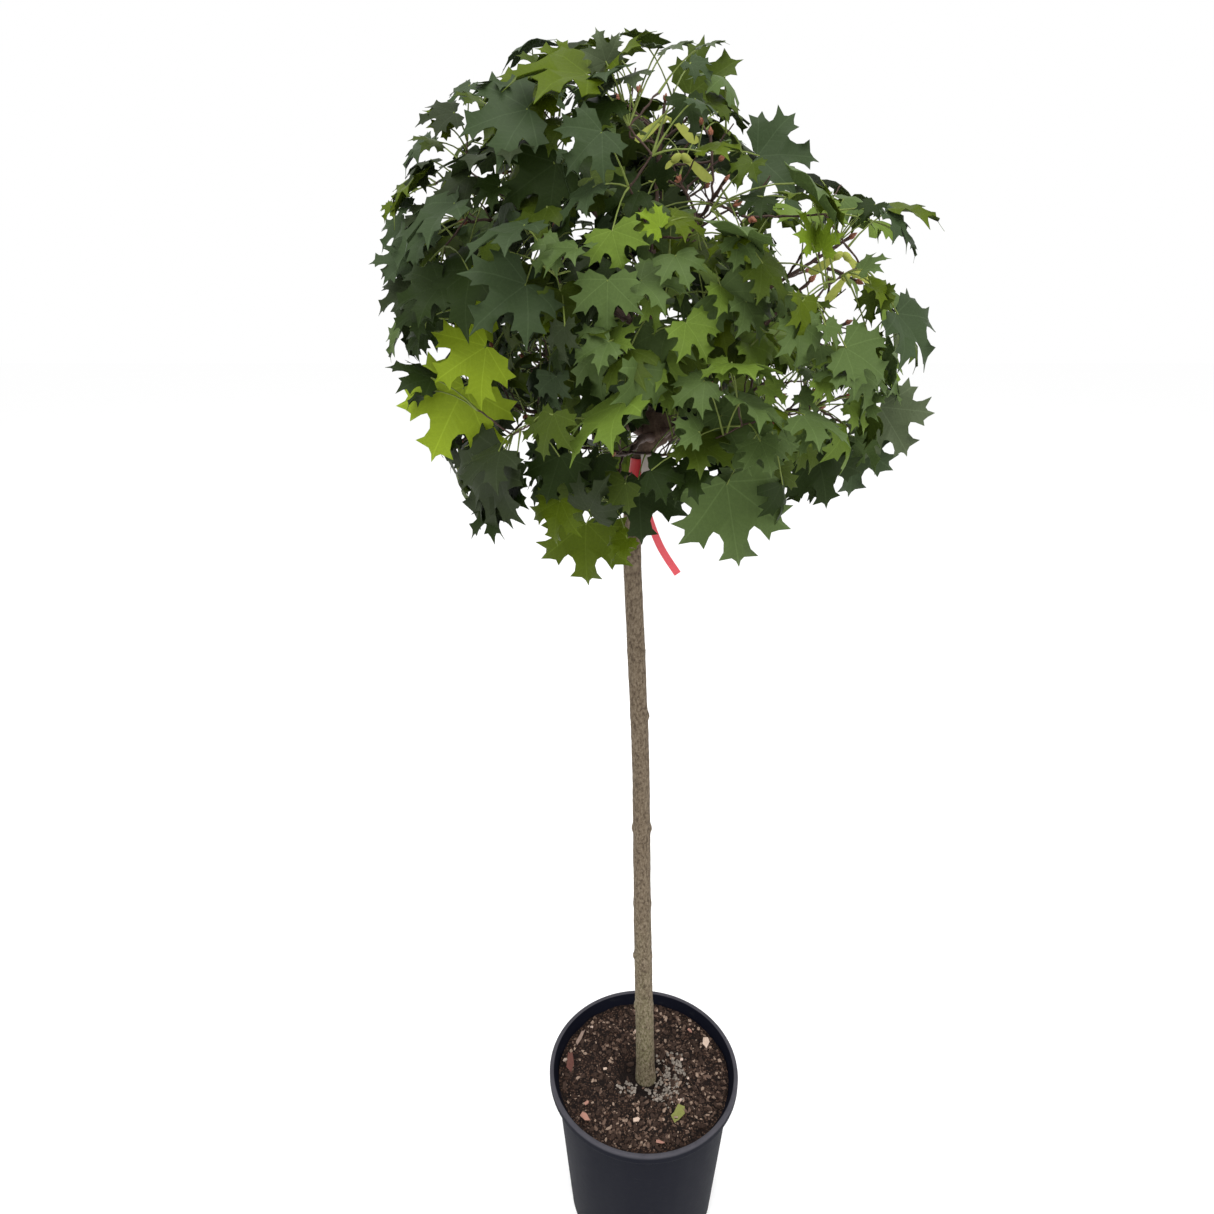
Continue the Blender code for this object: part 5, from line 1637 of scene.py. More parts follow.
    def set_leaf(self, leaf: FrontLeaf) -> None:
        """Set a leaf at its place, or a little nearer or farther as the eye sees it."""
        depth = self.shape.front(leaf.x, leaf.y) + leaf.inset
        junction = SIGHT.place(leaf.x, leaf.y, depth)
        forward = self.far_tip if leaf.facing is HIGH else self.near_tip
        blade = SIGHT.place(leaf.tip_x, leaf.tip_y, depth - forward) - junction
        midrib = blade.normalized()
        normal = square(leaf.facing + shaken(self.dealer, self.front_shake), midrib)
        turn = math.acos(min(1.0, max(leaf.width, self.least_width)))
        normal = max((Quaternion(midrib, sign * turn) @ normal for sign in (1, -1)), key=lambda side: side.z)
        width = max(leaf.width, 1.0) * min(1.0, leaf.width / self.least_width)
        root, twig = self.nearest(junction, self.stems + self.shoots)[0]
        away = (junction - root).length
        if away > self.longest_stalk:
            twig = self.reach([root.lerp(junction, 1.0 - self.shoot_end / away)], self.shoot_radius)
            root = twig.at(self.tip_place)[0]
        sight = (junction - Vector(SIGHT.eye)).normalized()
        looks = (midrib, normal, blade.length, leaf.tint, twig.number, width, True)
        plates = [Plate(root, junction + sight * step, *looks) for step in self.sidesteps]
        room = LEAF.sized(blade.length * self.front_room)
        self.leaves.append(next((plate for plate in plates if self.fits(room, plate)), plates[0]))

    def hides(self, plate: Plate) -> bool:
        """Tell whether a leaf would stand before an opening as the eye sees it."""
        across = plate.midrib.cross(plate.normal)
        for side in (1.0, -1.0):
            for out, along in self.samples:
                point = plate.junction + (across * out * side + plate.midrib * along) * plate.length
                x, y = SIGHT.pixel(point)
                for left, right, top, bottom, depth in OPENINGS:
                    if left < x < right and top < y < bottom and point.y < depth:
                        return True
        return False

    def deal(self, point: Vector) -> Tint:
        """Deal a leaf its tint by the part of the crown that it stands in, which paints the crown's light and
        shade.
        """
        tints, shares = zip(*self.shape.zone(point).value)
        return self.dealer.choices(tints, shares)[0]

    def grow_leaf(self, mass: Mass, rng: random.Random, spot: Spot, small: bool = False) -> None:
        """Try a leaf at one place, with another length, angle and turn each time.

        Args:
            mass: The mass that it belongs to.
            rng: The mass's own draws.
            spot: Where it leaves its twig.
            small: Whether it is one of the finer shoots' leaves.
        """
        root = spot.twig.at(spot.share)[0] + spot.along * spot.stagger
        stalks = self.small_stalks if small else self.stalk_lengths
        lengths = self.small_lengths if small else self.leaf_lengths
        for _ in range(self.leaf_tries):
            lead = spot.along * rng.uniform(0.35, 0.8) + spot.side + UP * rng.uniform(0.0, 0.45)
            lead.normalize()
            junction = root + lead * rng.uniform(*stalks)
            length = rng.uniform(*lengths)
            midrib, normal = self.blade_axes(junction, lead, rng)
            tip = junction + midrib * length
            across = midrib.cross(normal) * length * LEAF.half[2][0]
            shoulder = junction + midrib * length * LEAF.half[2][1]
            if (tip - Vector(mass.middle)).length > mass.reach * self.leaf_overreach:
                continue
            if not all(map(self.shape.holds, (tip, shoulder + across, shoulder - across))):
                continue
            plate = Plate(root, junction, midrib, normal, length, None, spot.twig.number)
            if not (small and self.hides(plate)) and self.try_plate(LEAF.sized(length), plate):
                self.leaves.append(replace(plate, tint=self.deal(junction)))
                return

    def grow_feature(self, feature: Feature) -> None:
        """Grow a leaf or a pair of seeds at a set place, on the nearest twig of its mass."""
        junction = Vector(feature.junction)
        blade = Vector(feature.tip) - junction
        midrib = blade.normalized()
        shape = SEEDS if feature.seeds else LEAF.sized(blade.length)
        looks = (midrib, square(feature.facing, midrib), shape.scale, feature.tint)
        for root, twig in self.nearest(junction, self.twigs[feature.mass]):
            plate = Plate(root, junction, *looks, twig.number, feature.width, True)
            if self.try_plate(shape, plate):
                (self.seeds if feature.seeds else self.leaves).append(plate)
                return
        LOG.warning("no room for a feature of %s at %s", feature.mass, feature.junction)

    def refine(self) -> None:
        """Carry the masses to finer shoots with smaller leaves, within the same reach."""
        draws = [(mass, random.Random(mass.seed + 1000)) for mass in MASSES]
        for share in self.shoot_places:
            for mass, rng in draws:
                for twig in self.twigs[mass.name]:
                    if rng.random() < mass.fullness:
                        self.grow_shoot(mass, rng, twig, share)

    def grow_shoot(self, mass: Mass, rng: random.Random, twig: Twig, share: float) -> None:
        """Grow one fine shoot with a leaf at its tip and two pairs below it."""
        root, along, _ = twig.at(share)
        for _ in range(5):
            side = sideways(along, rng.uniform(0.0, FULL_TURN))
            lead = (along * rng.uniform(0.3, 0.9) + side + UP * rng.uniform(0.0, 0.4)).normalized()
            end = root + lead * mass.reach * rng.uniform(*self.shoot_lengths)
            shoot = Twig([root, end], (self.shoot_radius, self.shoot_radius * 0.8))
            if not self.shape.holds(end) or not self.bear(shoot, twig):
                continue
            self.shoots.append(shoot)
            beside = sideways(lead, rng.uniform(0.0, math.pi))
            self.grow_leaf(mass, rng, Spot(shoot, self.tip_place, lead, UP * 0.4), True)
            for place, sign in ((0.7, 1), (0.7, -1), (0.4, 1), (0.4, -1)):
                spot = Spot(shoot, place, lead, beside * sign, self.leaf_stagger * sign)
                self.grow_leaf(mass, rng, spot, True)
            return


PLAIN_HALF = (
    (0.0, 1.0), (0.06, 0.86), (0.235, 0.815), (0.150, 0.64), (0.20, 0.49), (0.29, 0.51), (0.395, 0.655),
    (0.45, 0.575), (0.69, 0.61), (0.58, 0.44), (0.735, 0.33), (0.51, 0.26), (0.46, 0.18),
    (0.65, 0.08), (0.60, -0.13), (0.35, -0.13), (0.11, -0.08))

FULL_HALF = (
    (0.0, 1.0), (0.03, 0.90), (0.078, 0.845), (0.245, 0.83), (0.168, 0.74), (0.145, 0.62),
    (0.182, 0.52), (0.245, 0.475), (0.31, 0.53), (0.40, 0.665), (0.44, 0.585), (0.54, 0.585),
    (0.70, 0.62), (0.60, 0.50), (0.585, 0.43), (0.74, 0.335), (0.58, 0.30), (0.49, 0.25),
    (0.455, 0.19), (0.53, 0.13), (0.66, 0.085), (0.56, 0.01), (0.60, -0.13), (0.44, -0.085),
    (0.34, -0.17), (0.20, -0.10), (0.08, -0.07))


@dataclass(frozen=True)
class LeafPattern:
    """A maple leaf with five long-toothed lobes, one unit long: its outline, and how its blade is bent."""

    half: tuple[Pair, ...]
    cup: float
    droop: float
    pleat: float
    fold: float
    twist: float
    notch: Pair = (0.0, 0.010)
    veins: tuple[Pair, ...] = ((0.0, 0.94), (0.63, 0.56), (0.58, 0.03))
    inner: tuple[Pair, ...] = (
        (0.0, 0.34), (0.0, 0.66), (0.30, 0.31), (-0.30, 0.31), (0.46, 0.48), (-0.46, 0.48))
    centre: float = 0.30
    thickness: float = 0.009
    pleat_span: float = 0.40

    def surface(self, x: float, y: float) -> Vector:
        """Return the point of the bent blade over a flat place."""
        reach, turn = math.hypot(x, y), math.atan2(abs(x), y)
        nearest = min(abs(turn - math.atan2(*vein)) for vein in self.veins)
        z = self.pleat * reach * min(nearest, self.pleat_span) + self.fold * abs(x) + self.twist * x * y
        z -= self.cup * (x * x + (y - self.centre) ** 2) + self.droop * reach ** 3
        return Vector((x + 0.35 * self.twist * y * y, y, z))

    def blade(self, name: str) -> Object:
        """Make the blade: two bent faces and a thin rim, the lower face marked as under."""
        rim = [*self.half, self.notch] + [(-x, y) for x, y in reversed(self.half[1:])]
        loop = list(range(len(rim)))
        flat = [Vector(place) for place in [*rim, *self.inner]]
        places, _, faces, _, _, _ = delaunay_2d_cdt(flat, [], [loop], 1, 1e-5)
        sheet = bmesh.new()
        points = [sheet.verts.new((*place, 0.0)) for place in places]
        for face in faces:
            sheet.faces.new([points[number] for number in face])
        bmesh.ops.join_triangles(
            sheet, faces=sheet.faces[:], angle_face_threshold=1.0, angle_shape_threshold=math.pi)
        sheet.verts.index_update()
        faces = [tuple(vert.index for vert in face.verts) for face in sheet.faces]
        sheet.free()
        top, count = [self.surface(*place) for place in places], len(places)
        under = [tuple(number + count for number in reversed(face)) for face in faces]
        pairs = zip(loop, loop[1:] + loop[:1])
        edge = [(after, first, first + count, after + count) for first, after in pairs]
        made = plain(name, top + [point - UP * self.thickness for point in top], faces + under + edge)
        lower = [False] * len(faces) + [True] * len(under) + [False] * len(edge)
        mark(made, "under", "BOOLEAN", lower, "FACE")
        mark(made, "leaf_place", "FLOAT_VECTOR", [part for place in places for part in (*place, 0.0)] * 2)
        return shade(made, 55.0)


@dataclass
class Greenery:
    """What the crown's pieces share: its growth, and the trees that set patterns and sweep tubes."""

    crown: Crown
    place: GeometryTree
    tubes: GeometryTree

    def set_out(
        self, name: str, patterns: Collection, plates: Sequence[Plate], finishes: Sequence[Material],
        looks: Sequence[tuple[int, float]] = (),
    ) -> Object:
        """Set a pattern on each of some plates and join them.

        Args:
            name: The piece's name.
            patterns: The patterns.
            plates: The leaves, seeds or buds.
            finishes: The finish of the upper side, and that of the lower side if it has its own.
            looks: The pattern and the width of each, if they aren't all alike.

        Returns:
            The piece.
        """
        looks = looks or [(0, 1.0)] * len(plates)
        turns, sizes = [], []
        for plate, (_, width) in zip(plates, looks):
            across = plate.midrib.cross(plate.normal).normalized()
            turns += Matrix((across, plate.midrib, plate.normal)).transposed().to_euler()
            sizes += [plate.length * width, plate.length, plate.length]
        base = plain(name, [plate.junction for plate in plates])
        mark(base, "turn", "FLOAT_VECTOR", turns)
        mark(base, "size", "FLOAT_VECTOR", sizes)
        mark(base, "pattern", "INT", [pattern for pattern, _ in looks])
        return self.place.run(base, name, {"Patterns": patterns, "Upper": finishes[0], "Under": finishes[-1]})

    def sweep(
        self, name: str, paths: Sequence[Sequence[Vector]], radii: Sequence[Sequence[float]], sides: int,
        finish: Material,
    ) -> Object:
        """Sweep tubes along paths, with a radius at each point.

        Args:
            name: The piece's name.
            paths: The points of each tube's middle line.
            radii: The radii at these points.
            sides: The number of a tube's sides.
            finish: Its finish.

        Returns:
            The piece.
        """
        verts, edges = [], []
        for path in paths:
            edges += [(len(verts) + number, len(verts) + number + 1) for number in range(len(path) - 1)]
            verts += path
        base = plain(name, verts, (), edges)
        mark(base, "radius", "FLOAT", [radius for row in radii for radius in row])
        return self.tubes.run(base, name, {"Sides": sides, "Finish": finish})

    def stalks(
        self, name: str, plates: Sequence[Plate], arch: float, overlap: float, radii: Sequence[float],
        finish: Material,
    ) -> Object:
        """Make stalks, arched a little from twig to blade.

        Args:
            name: The piece's name.
            plates: The leaves or seeds.
            arch: How high a stalk's control point lies, as a share of its span.
            overlap: How far it reaches into the blade, as a share of the blade's length.
            radii: Its radii from root to end.
            finish: Its finish.

        Returns:
            The piece.
        """
        paths = []
        for plate in plates:
            span = (plate.junction - plate.root).length
            control = plate.root.lerp(plate.junction, 0.5) + UP * span * arch
            end = plate.junction + plate.midrib * plate.length * overlap
            paths.append(bezier(plate.root, control, end, len(radii)))
        return self.sweep(name, paths, [radii] * len(paths), 5, finish)


@dataclass
class Foliage(Greenery):
    """The leaves of each tint joined into one piece, and all their stalks into another.

    A form is a leaf's cup, the droop of its tips, the pleats between its veins, its fold and its twist.
    """

    plain_forms: tuple[tuple[float, ...], ...] = (
        (0.16, 0.14, 0.34, 0.00, 0.00), (0.06, 0.38, 0.40, 0.10, 0.14), (0.26, 0.10, 0.30, -0.12, -0.18),
        (0.00, 0.46, 0.34, 0.40, -0.08), (-0.14, 0.30, 0.42, 0.22, 0.12), (0.30, 0.20, 0.32, -0.30, 0.22))
    full_forms: tuple[tuple[float, ...], ...] = (
        (0.10, 0.16, 0.36, 0.04, 0.06), (0.04, 0.30, 0.44, 0.14, -0.12), (0.16, 0.12, 0.32, -0.10, 0.14),
        (0.02, 0.36, 0.38, 0.26, 0.10))
    widths: Pair = (0.85, 1.08)
    stalk_radius: float = 0.0008
    seed: int = 5

    def build(self, stalk: Material) -> list[Object]:
        """Build the leaves of each tint, then all stalks."""
        leaves, plain_count, rng = self.crown.leaves, len(self.plain_forms), random.Random(self.seed)
        patterns = [LeafPattern(PLAIN_HALF, *form) for form in self.plain_forms]
        patterns += [LeafPattern(FULL_HALF, *form) for form in self.full_forms]
        blades = pattern_set("leaf", *[row.blade(f"blade_{n:02d}") for n, row in enumerate(patterns)])
        looks = []
        for leaf in leaves:
            first, count = (plain_count, len(self.full_forms)) if leaf.full else (0, plain_count)
            looks.append((first + rng.randrange(count), leaf.width or rng.uniform(*self.widths)))
        made = []
        for tint in Tint:
            chosen = [(leaf, look) for leaf, look in zip(leaves, looks) if leaf.tint is tint]
            plates, chosen_looks = zip(*chosen)
            finishes = self.finishes(tint)
            made.append(self.set_out("leaves_" + tint.name.lower(), blades, plates, finishes, chosen_looks))
        radii = [self.stalk_radius * share for share in (1.7, 1.1, 0.9, 0.9, 1.0)]
        return made + [self.stalks("leaf_stalks", leaves, 0.16, 0.03, radii, stalk)]

    @staticmethod
    def finishes(tint: Tint) -> tuple[Material, Material]:
        """Make the finishes of the upper and the lower side of a tint's leaves."""
        name = tint.name.lower()
        pale = tuple(part * 0.85 + grey for part, grey in zip(tint.value, (0.010, 0.016, 0.004)))
        under = LeafFinish("leaf_under_" + name, pale, 0.62, 0.08)
        return LeafFinish("leaf_" + name, tint.value).make(), under.make()


@dataclass
class Wood(Greenery):
    """The boughs, the twigs in their masses, and the buds at their tips."""

    bough_sides: int = 16
    bough_step: float = 0.0035
    scar_spacing: float = 0.034
    twig_sides: int = 7
    twig_step: float = 0.006
    crook: float = 0.0009
    bud_length: float = 0.0105
    slim: float = 0.68
    seed: int = 9

    def boughs(self, finish: Material) -> Object:
        """Build all boughs as one piece, with scars and fine relief."""
        parts = []
        for start, control, end, normal, _ in self.crown.boughs.values():
            span = (end - start).length
            count = max(8, round(span / self.bough_step))
            radii = [
                radius * (1.0 + scar_swell(span * number / count, self.scar_spacing))
                for number, radius in enumerate(ramp(*self.crown.bough_radii, count))]
            path = bezier(start, control, end, count)
            parts.append(tube(path, radii, self.bough_sides, normal, shoot_relief))
        return shell("bough_bark", join_meshes(parts), 60.0, finish)

    def twigs(self, finish: Material) -> Object:
        """Build all stems, twigs and shoots as one piece, a little crooked and knuckled."""
        rng = random.Random(self.seed)
        paths, radii = [], []
        for twig in self.crown.stems + self.crown.shoots:
            length = sum((after - before).length for before, after in zip(twig.path, twig.path[1:]))
            count = max(4, round(length / self.twig_step))
            path, row = [], []
            for number in range(count + 1):
                point, _, radius = twig.at(min(number / count, 0.9999))
                path.append(point + shaken(rng, self.crook) if 0 < number < count else point)
                row.append(radius * self.slim * (1.22 if number % 3 == 0 else 0.94))
            paths.append(path)
            radii.append(row)
        return self.sweep("twigs", paths, radii, self.twig_sides, finish)

    def buds(self, finish: Material) -> Object:
        """Build a cluster of three pointed buds at the tip of each stem, twig and bare shoot."""
        rng = random.Random(self.seed + 1)
        axis = Vector((0.0, 1.0, 0.0))
        rings = [
            [axis * share + spoke * radius for spoke in unit_ring(axis, 6)]
            for share, radius in ((0.18, 0.19), (0.45, 0.27), (0.75, 0.16))]
        bud = shell("bud", turned(rings, Vector(), axis), 60.0)
        plates = []
        for twig in self.crown.stems + self.crown.limbs:
            tip, heading, _ = twig.at(0.9999)
            side = heading.orthogonal().normalized()
            for lean, size in ((0.0, 1.0), (0.8, 0.7), (-0.8, 0.7)):
                lead = (heading + side * lean).normalized()
                length = self.bud_length * size * rng.uniform(0.8, 1.15)
                plates.append(Plate(tip, tip - lead * 0.001, lead, lead.orthogonal().normalized(), length))
        return self.set_out("buds", pattern_set("bud", bud), plates, [finish])


@dataclass
class Seeds(Greenery):
    """The pairs of winged seeds, each on its thread of a stalk."""

    wing_turn: float = math.radians(36.0)
    wing_length: float = 0.98
    shrink: float = 0.88
    outline: tuple[Pair, ...] = (
        (0.04, -0.06), (0.16, -0.11), (0.30, -0.075), (0.55, -0.130), (0.80, -0.150), (0.95, -0.090),
        (1.00, 0.020), (0.92, 0.085), (0.60, 0.095), (0.30, 0.070), (0.16, 0.085), (0.04, 0.05))
    thickness: float = 0.022
    stalk_radius: float = 0.0006

    def pattern(self) -> Object:
        """Make one pair: two wings and two swollen nutlets, one unit to a wing."""
        parts = []
        for sign in (1.0, -1.0):
            turn = Matrix.Rotation(-sign * (math.pi / 2 - self.wing_turn), 3, "Z")
            count = len(self.outline)
            verts = []
            for side in (1.0, -1.0):
                for along, out in self.outline:
                    place = Vector((sign * out, along * self.wing_length, 0.0))
                    place.z = side * self.thickness * (0.5 if out > 0.05 else 0.25) - 0.10 * along * along
                    verts.append(turn @ place)
            faces = [tuple(range(count)), tuple(reversed(range(count, 2 * count)))]
            parts.append((verts, faces + ring_faces(0, 2, count)))
            centre, axis = turn @ Vector((0.0, 0.14, 0.0)), turn @ Vector((0.0, 0.15, 0.0))
            rings = [[
                centre + axis * math.cos(angle) + turn @ Vector((
                    spoke.x * math.sin(angle) * 0.10, 0.0, spoke.y * math.sin(angle) * 0.055))
                for spoke in unit_ring(UP, 8)] for angle in ramp(math.pi / 6, math.pi * 5 / 6, 5)]
            parts.append(turned(rings, centre + axis, centre - axis))
        return shell("seed_pair", join_meshes(parts), 50.0)

    def build(self, wing: Material, stalk: Material) -> list[Object]:
        """Build all pairs as one piece and their stalks as another."""
        plates = [replace(plate, length=plate.length * self.shrink) for plate in self.crown.seeds]
        radii = [self.stalk_radius * share for share in (1.8, 1.2, 1.0, 1.0, 1.2)]
        return [
            self.set_out("winged_seeds", pattern_set("seed", self.pattern()), plates, [wing]),
            self.stalks("seed_stalks", plates, 0.2, 0.08, radii, stalk)]


@dataclass
class NurseryPot:
    """The round pot: a tapering wall, a rolled rim, and a closed flat foot."""

    height: float = 0.310
    rim_radius: float = 0.1625
    rim_depth: float = 0.017
    rim_round: float = 0.0030
    lip: float = 0.0075
    neck_radius: float = 0.1505
    foot_radius: float = 0.1280
    foot_round: float = 0.004
    wall: float = 0.0032
    floor: float = 0.0040
    segments: int = 144
    round_steps: int = 6

    def outer(self, height: float) -> float:
        """Return the wall's outer radius at a height."""
        share = height / (self.height - self.rim_depth)
        return self.foot_radius + (self.neck_radius - self.foot_radius) * share

    def inner(self, height: float) -> float:
        """Return the wall's inner radius at a height below its neck."""
        low, high = self.floor, self.height - self.rim_depth - self.rim_round
        foot = self.outer(self.floor) - self.wall
        return foot + (self.neck_radius - self.wall - foot) * (height - low) / (high - low)

    def arc(self, radius: float, height: float, start: float, end: float, size: float) -> list[Pair]:
        """Return the points of a rounded edge about a centre, from one angle to another."""
        turns = [math.radians(turn) for turn in ramp(start, end, self.round_steps)]
        return [(radius + size * math.cos(turn), height + size * math.sin(turn)) for turn in turns]

    def profile(self) -> list[Pair]:
        """Return the wall's outline as radius and height, from the foot round to the floor."""
        size, low, high = self.rim_round, self.height - self.rim_depth, self.height - self.rim_round
        return [
            (0.0, 0.0),
            *self.arc(self.foot_radius - self.foot_round, self.foot_round, -90.0, -5.0, self.foot_round),
            (self.neck_radius, low),
            *self.arc(self.rim_radius - size, low + size, -90.0, 0.0, size),
            *self.arc(self.rim_radius - size, high, 0.0, 90.0, size),
            *self.arc(self.rim_radius - self.lip + size, high, 90.0, 180.0, size),
            (self.neck_radius - self.wall, low - size),
            (self.outer(self.floor) - self.wall, self.floor), (0.0, self.floor)]

    def build(self, finish: Material) -> Object:
        """Build the pot as one turned shell."""
        profile, spokes = self.profile(), unit_ring(UP, self.segments)
        rings = [[spoke * radius + UP * height for spoke in spokes] for radius, height in profile[1:-1]]
        return shell("nursery_pot", turned(rings, UP * profile[0][1], UP * profile[-1][1]), 40.0, finish)


@dataclass
class Compost:
    """The filling of the pot: a crumbly top with a dip round the foot, and what is strewn on it.

    A patch of grit is a place and a radius. A scrap is a place, its size, its turn and its finish's number.
    """

    pot: NurseryPot
    top: float = 0.291
    foot_level: float = 0.279
    foot_disc: float = 0.024
    dip_radius: float = 0.060
    relief: float = 0.0022
    crumb: float = 0.0034
    heart: float = 0.019
    rings: int = 62
    segments: int = 160
    grit_patches: tuple[Triple, ...] = (
        (0.044, 0.006, 0.036), (0.034, -0.036, 0.028), (-0.028, -0.024, 0.020))
    scraps: tuple[tuple[float, float, Triple, Triple, int], ...] = (
        (-0.127, 0.014, (0.020, 0.066, 0.007), (0.10, 0.75, 0.1), 0),
        (-0.112, 0.066, (0.008, 0.058, 0.005), (0.10, 0.50, -0.35), 4),
        (-0.066, 0.004, (0.010, 0.008, 0.005), (0.2, 0.3, 0.4), 1),
        (0.116, 0.056, (0.028, 0.022, 0.009), (0.3, 0.1, 1.2), 1),
        (-0.097, -0.060, (0.014, 0.010, 0.006), (0.1, 0.3, 0.9), 2),
        (-0.100, -0.084, (0.024, 0.019, 0.008), (0.2, 0.1, 2.1), 2),
        (-0.014, -0.089, (0.016, 0.013, 0.006), (0.1, 0.2, 0.4), 1),
        (0.020, -0.128, (0.018, 0.011, 0.006), (0.3, 0.2, 2.6), 2),
        (0.088, 0.080, (0.014, 0.010, 0.007), (0.3, 0.2, 1.9), 2),
        (0.057, -0.076, (0.038, 0.030, 0.0016), (0.20, -0.15, 0.8), 3))
    scrap_lift: float = 0.0030

    def level(self, x: float, y: float) -> float:
        """Return the height of the uneven top, without its crumbs."""
        rise = smooth((math.hypot(x, y) - self.foot_disc) / (self.dip_radius - self.foot_disc))
        uneven = math.sin(47.0 * x + 1.3) * math.cos(39.0 * y - 0.6) + 0.6 * math.sin(83.0 * (x + y))
        return self.foot_level + (self.top - self.foot_level) * rise + self.relief * uneven * rise

    def build(self, finish: Material) -> Object:
        """Build the filling as one closed shell inside the pot's wall."""
        edge, low = self.pot.inner(self.top) - GAP, self.pot.floor + GAP
        spokes = unit_ring(UP, self.segments)
        rings = []
        for number in range(1, self.rings + 1):
            ring = []
            for spoke in spokes:
                x, y = spoke.x * edge * number / self.rings, spoke.y * edge * number / self.rings
                height = self.level(x, y)
                if number < self.rings:
                    coarse, fine = ripple(x * 90.0, y * 90.0, 2.0), ripple(x * 240.0, y * 240.0, 5.0)
                    height += self.crumb * (0.7 * coarse + 0.5 * fine)
                ring.append(Vector((x, y, height)))
            rings.append(ring)
        rings.append([spoke * (self.pot.inner(low) - GAP) + UP * low for spoke in spokes])
        return shell("compost", turned(rings, UP * self.level(0.0, 0.0), UP * low), 60.0, finish)

    def is_open(self, place: Vector) -> bool:
        """Tell whether a place lies on the top, between the trunk and the wall."""
        radius = math.hypot(place.x, place.y)
        return place.z > self.foot_level - 0.008 and self.heart < radius < self.pot.inner(self.top) - 0.006

    def chip_share(self, place: Vector) -> float:
        """Return how thickly chips lie at a place: in clumps, fewer at the left and round the foot."""
        clump = smooth(0.62 + 1.3 * ripple(place.x * 46.0, place.y * 46.0, 4.0))
        left = smooth(0.5 - place.x / 0.11) * smooth(1.3 - abs(place.y) / 0.10)
        foot = smooth(1.5 - math.hypot(place.x, place.y) / 0.045)
        return (0.35 + 0.65 * clump) * (1.0 - 0.65 * left) * (1.0 - 0.6 * foot) * self.is_open(place)

    def grit_share(self, place: Vector) -> float:
        """Return how gritty the top is at a place."""
        patch = max(
            smooth(1.35 - math.hypot(place.x - x, place.y - y) / radius)
            for x, y, radius in self.grit_patches)
        return patch * smooth(0.5 + 1.6 * ripple(place.x * 90.0, place.y * 90.0, 9.0)) * self.is_open(place)

    def shards(self, name: str, count: int, size: Triple, seed: int) -> Collection:
        """Make a few broken, blocky chips about one size, none of them square."""
        rng = random.Random(seed)
        outline = ((-0.5, -0.4), (0.1, -0.55), (0.55, -0.1), (0.35, 0.5), (-0.45, 0.4))
        faces = [tuple(reversed(range(5))), tuple(range(5, 10))] + ring_faces(0, 2, 5)
        made = []
        for number in range(count):
            verts = []
            for z in (-0.5, 0.5):
                for x, y in outline:
                    shake = shaken(rng, 0.16)
                    place = Vector((x, y, z * (0.8 if x < 0 else 1.0))) + shake
                    verts.append(Vector([part * side for part, side in zip(place, size)]))
            made.append(shell(f"{name}_{number}", (verts, faces)))
        return pattern_set(name, *made)

    def strewn(self, ground: Object, scatter: GeometryTree) -> list[Object]:
        """Strew bark chips, wood chips, pale crumbs and grit over the top, and lay single pieces on it."""
        flakes = self.shards("flake", 5, (1.0, 0.62, 0.34), 3)
        lumps = self.shards("lump", 4, (1.0, 0.85, 0.70), 4)
        chips, grit = (self.chip_share, 420.0, 0.7, 0.0004), (self.grit_share, 150.0, 0.9, -0.0005)
        kinds = (
            ("dark_chips", (0.012, 0.007, 0.005), (0.060, 0.036, 0.026), 16000.0, 0.0042, 0.0045, 0.0120),
            ("brown_chips", (0.060, 0.036, 0.026), (0.150, 0.098, 0.072), 14000.0, 0.0040, 0.0030, 0.0090),
            ("tan_chips", (0.150, 0.102, 0.074), (0.350, 0.255, 0.195), 8500.0, 0.0048, 0.0024, 0.0082),
            ("pale_chips", (0.360, 0.260, 0.210), (0.560, 0.450, 0.380), 330.0, 0.0200, 0.0034, 0.0075),
            ("grit", (0.024, 0.018, 0.014), (0.400, 0.350, 0.300), 100000.0, 0.0021, 0.0017, 0.0056))
        made = []
        for number, (name, first, second, density, spacing, smallest, largest) in enumerate(kinds):
            shapes = flakes if largest > 0.008 else lumps
            share, scale, tilt, sink = grit if name == "grit" else chips
            finish = TwoTone(name, first, second, scale, 0.85, 0.15).make()
            made.append(strew(name, ground, scatter, share, {
                "Patterns": shapes, "Finish": finish, "Density": density, "Spacing": spacing,
                "Smallest": smallest, "Largest": largest, "Tilt": tilt, "Sink": sink, "Seed": 61 + number}))
        return made + [self.single(flakes.objects[0].data)]

    def single(self, shape: bpy.types.Mesh) -> Object:
        """Lay single pieces on the top: a plate of bark, chips, and a scrap of leaf."""
        tones = (
            ("bark_plate", (0.070, 0.026, 0.020), (0.150, 0.066, 0.052)),
            ("pale_chip", (0.400, 0.290, 0.220), (0.580, 0.460, 0.380)),
            ("pink_chip", (0.260, 0.120, 0.090), (0.400, 0.220, 0.170)),
            ("leaf_scrap", (0.110, 0.122, 0.028), (0.200, 0.205, 0.066)),
            ("splinter", (0.150, 0.100, 0.078), (0.300, 0.220, 0.180)))
        longest = max(abs(vert.co.x) for vert in shape.vertices) * 2.0
        faces = [tuple(face.vertices) for face in shape.polygons]
        parts, numbers = [], []
        for x, y, size, turn, number in self.scraps:
            spin = Euler(turn).to_matrix()
            centre = Vector((x, y, self.level(x, y) + size[2] * 0.42 + self.scrap_lift))
            parts.append(([
                centre + spin @ Vector([part / longest * side for part, side in zip(vert.co, size)])
                for vert in shape.vertices], faces))
            numbers += [number] * len(faces)
        made = plain("single_chips", *join_meshes(parts))
        for tone in tones:
            made.data.materials.append(TwoTone(*tone, 300.0, 0.8, 0.15).make())
        made.data.polygons.foreach_set("material_index", numbers)
        return made


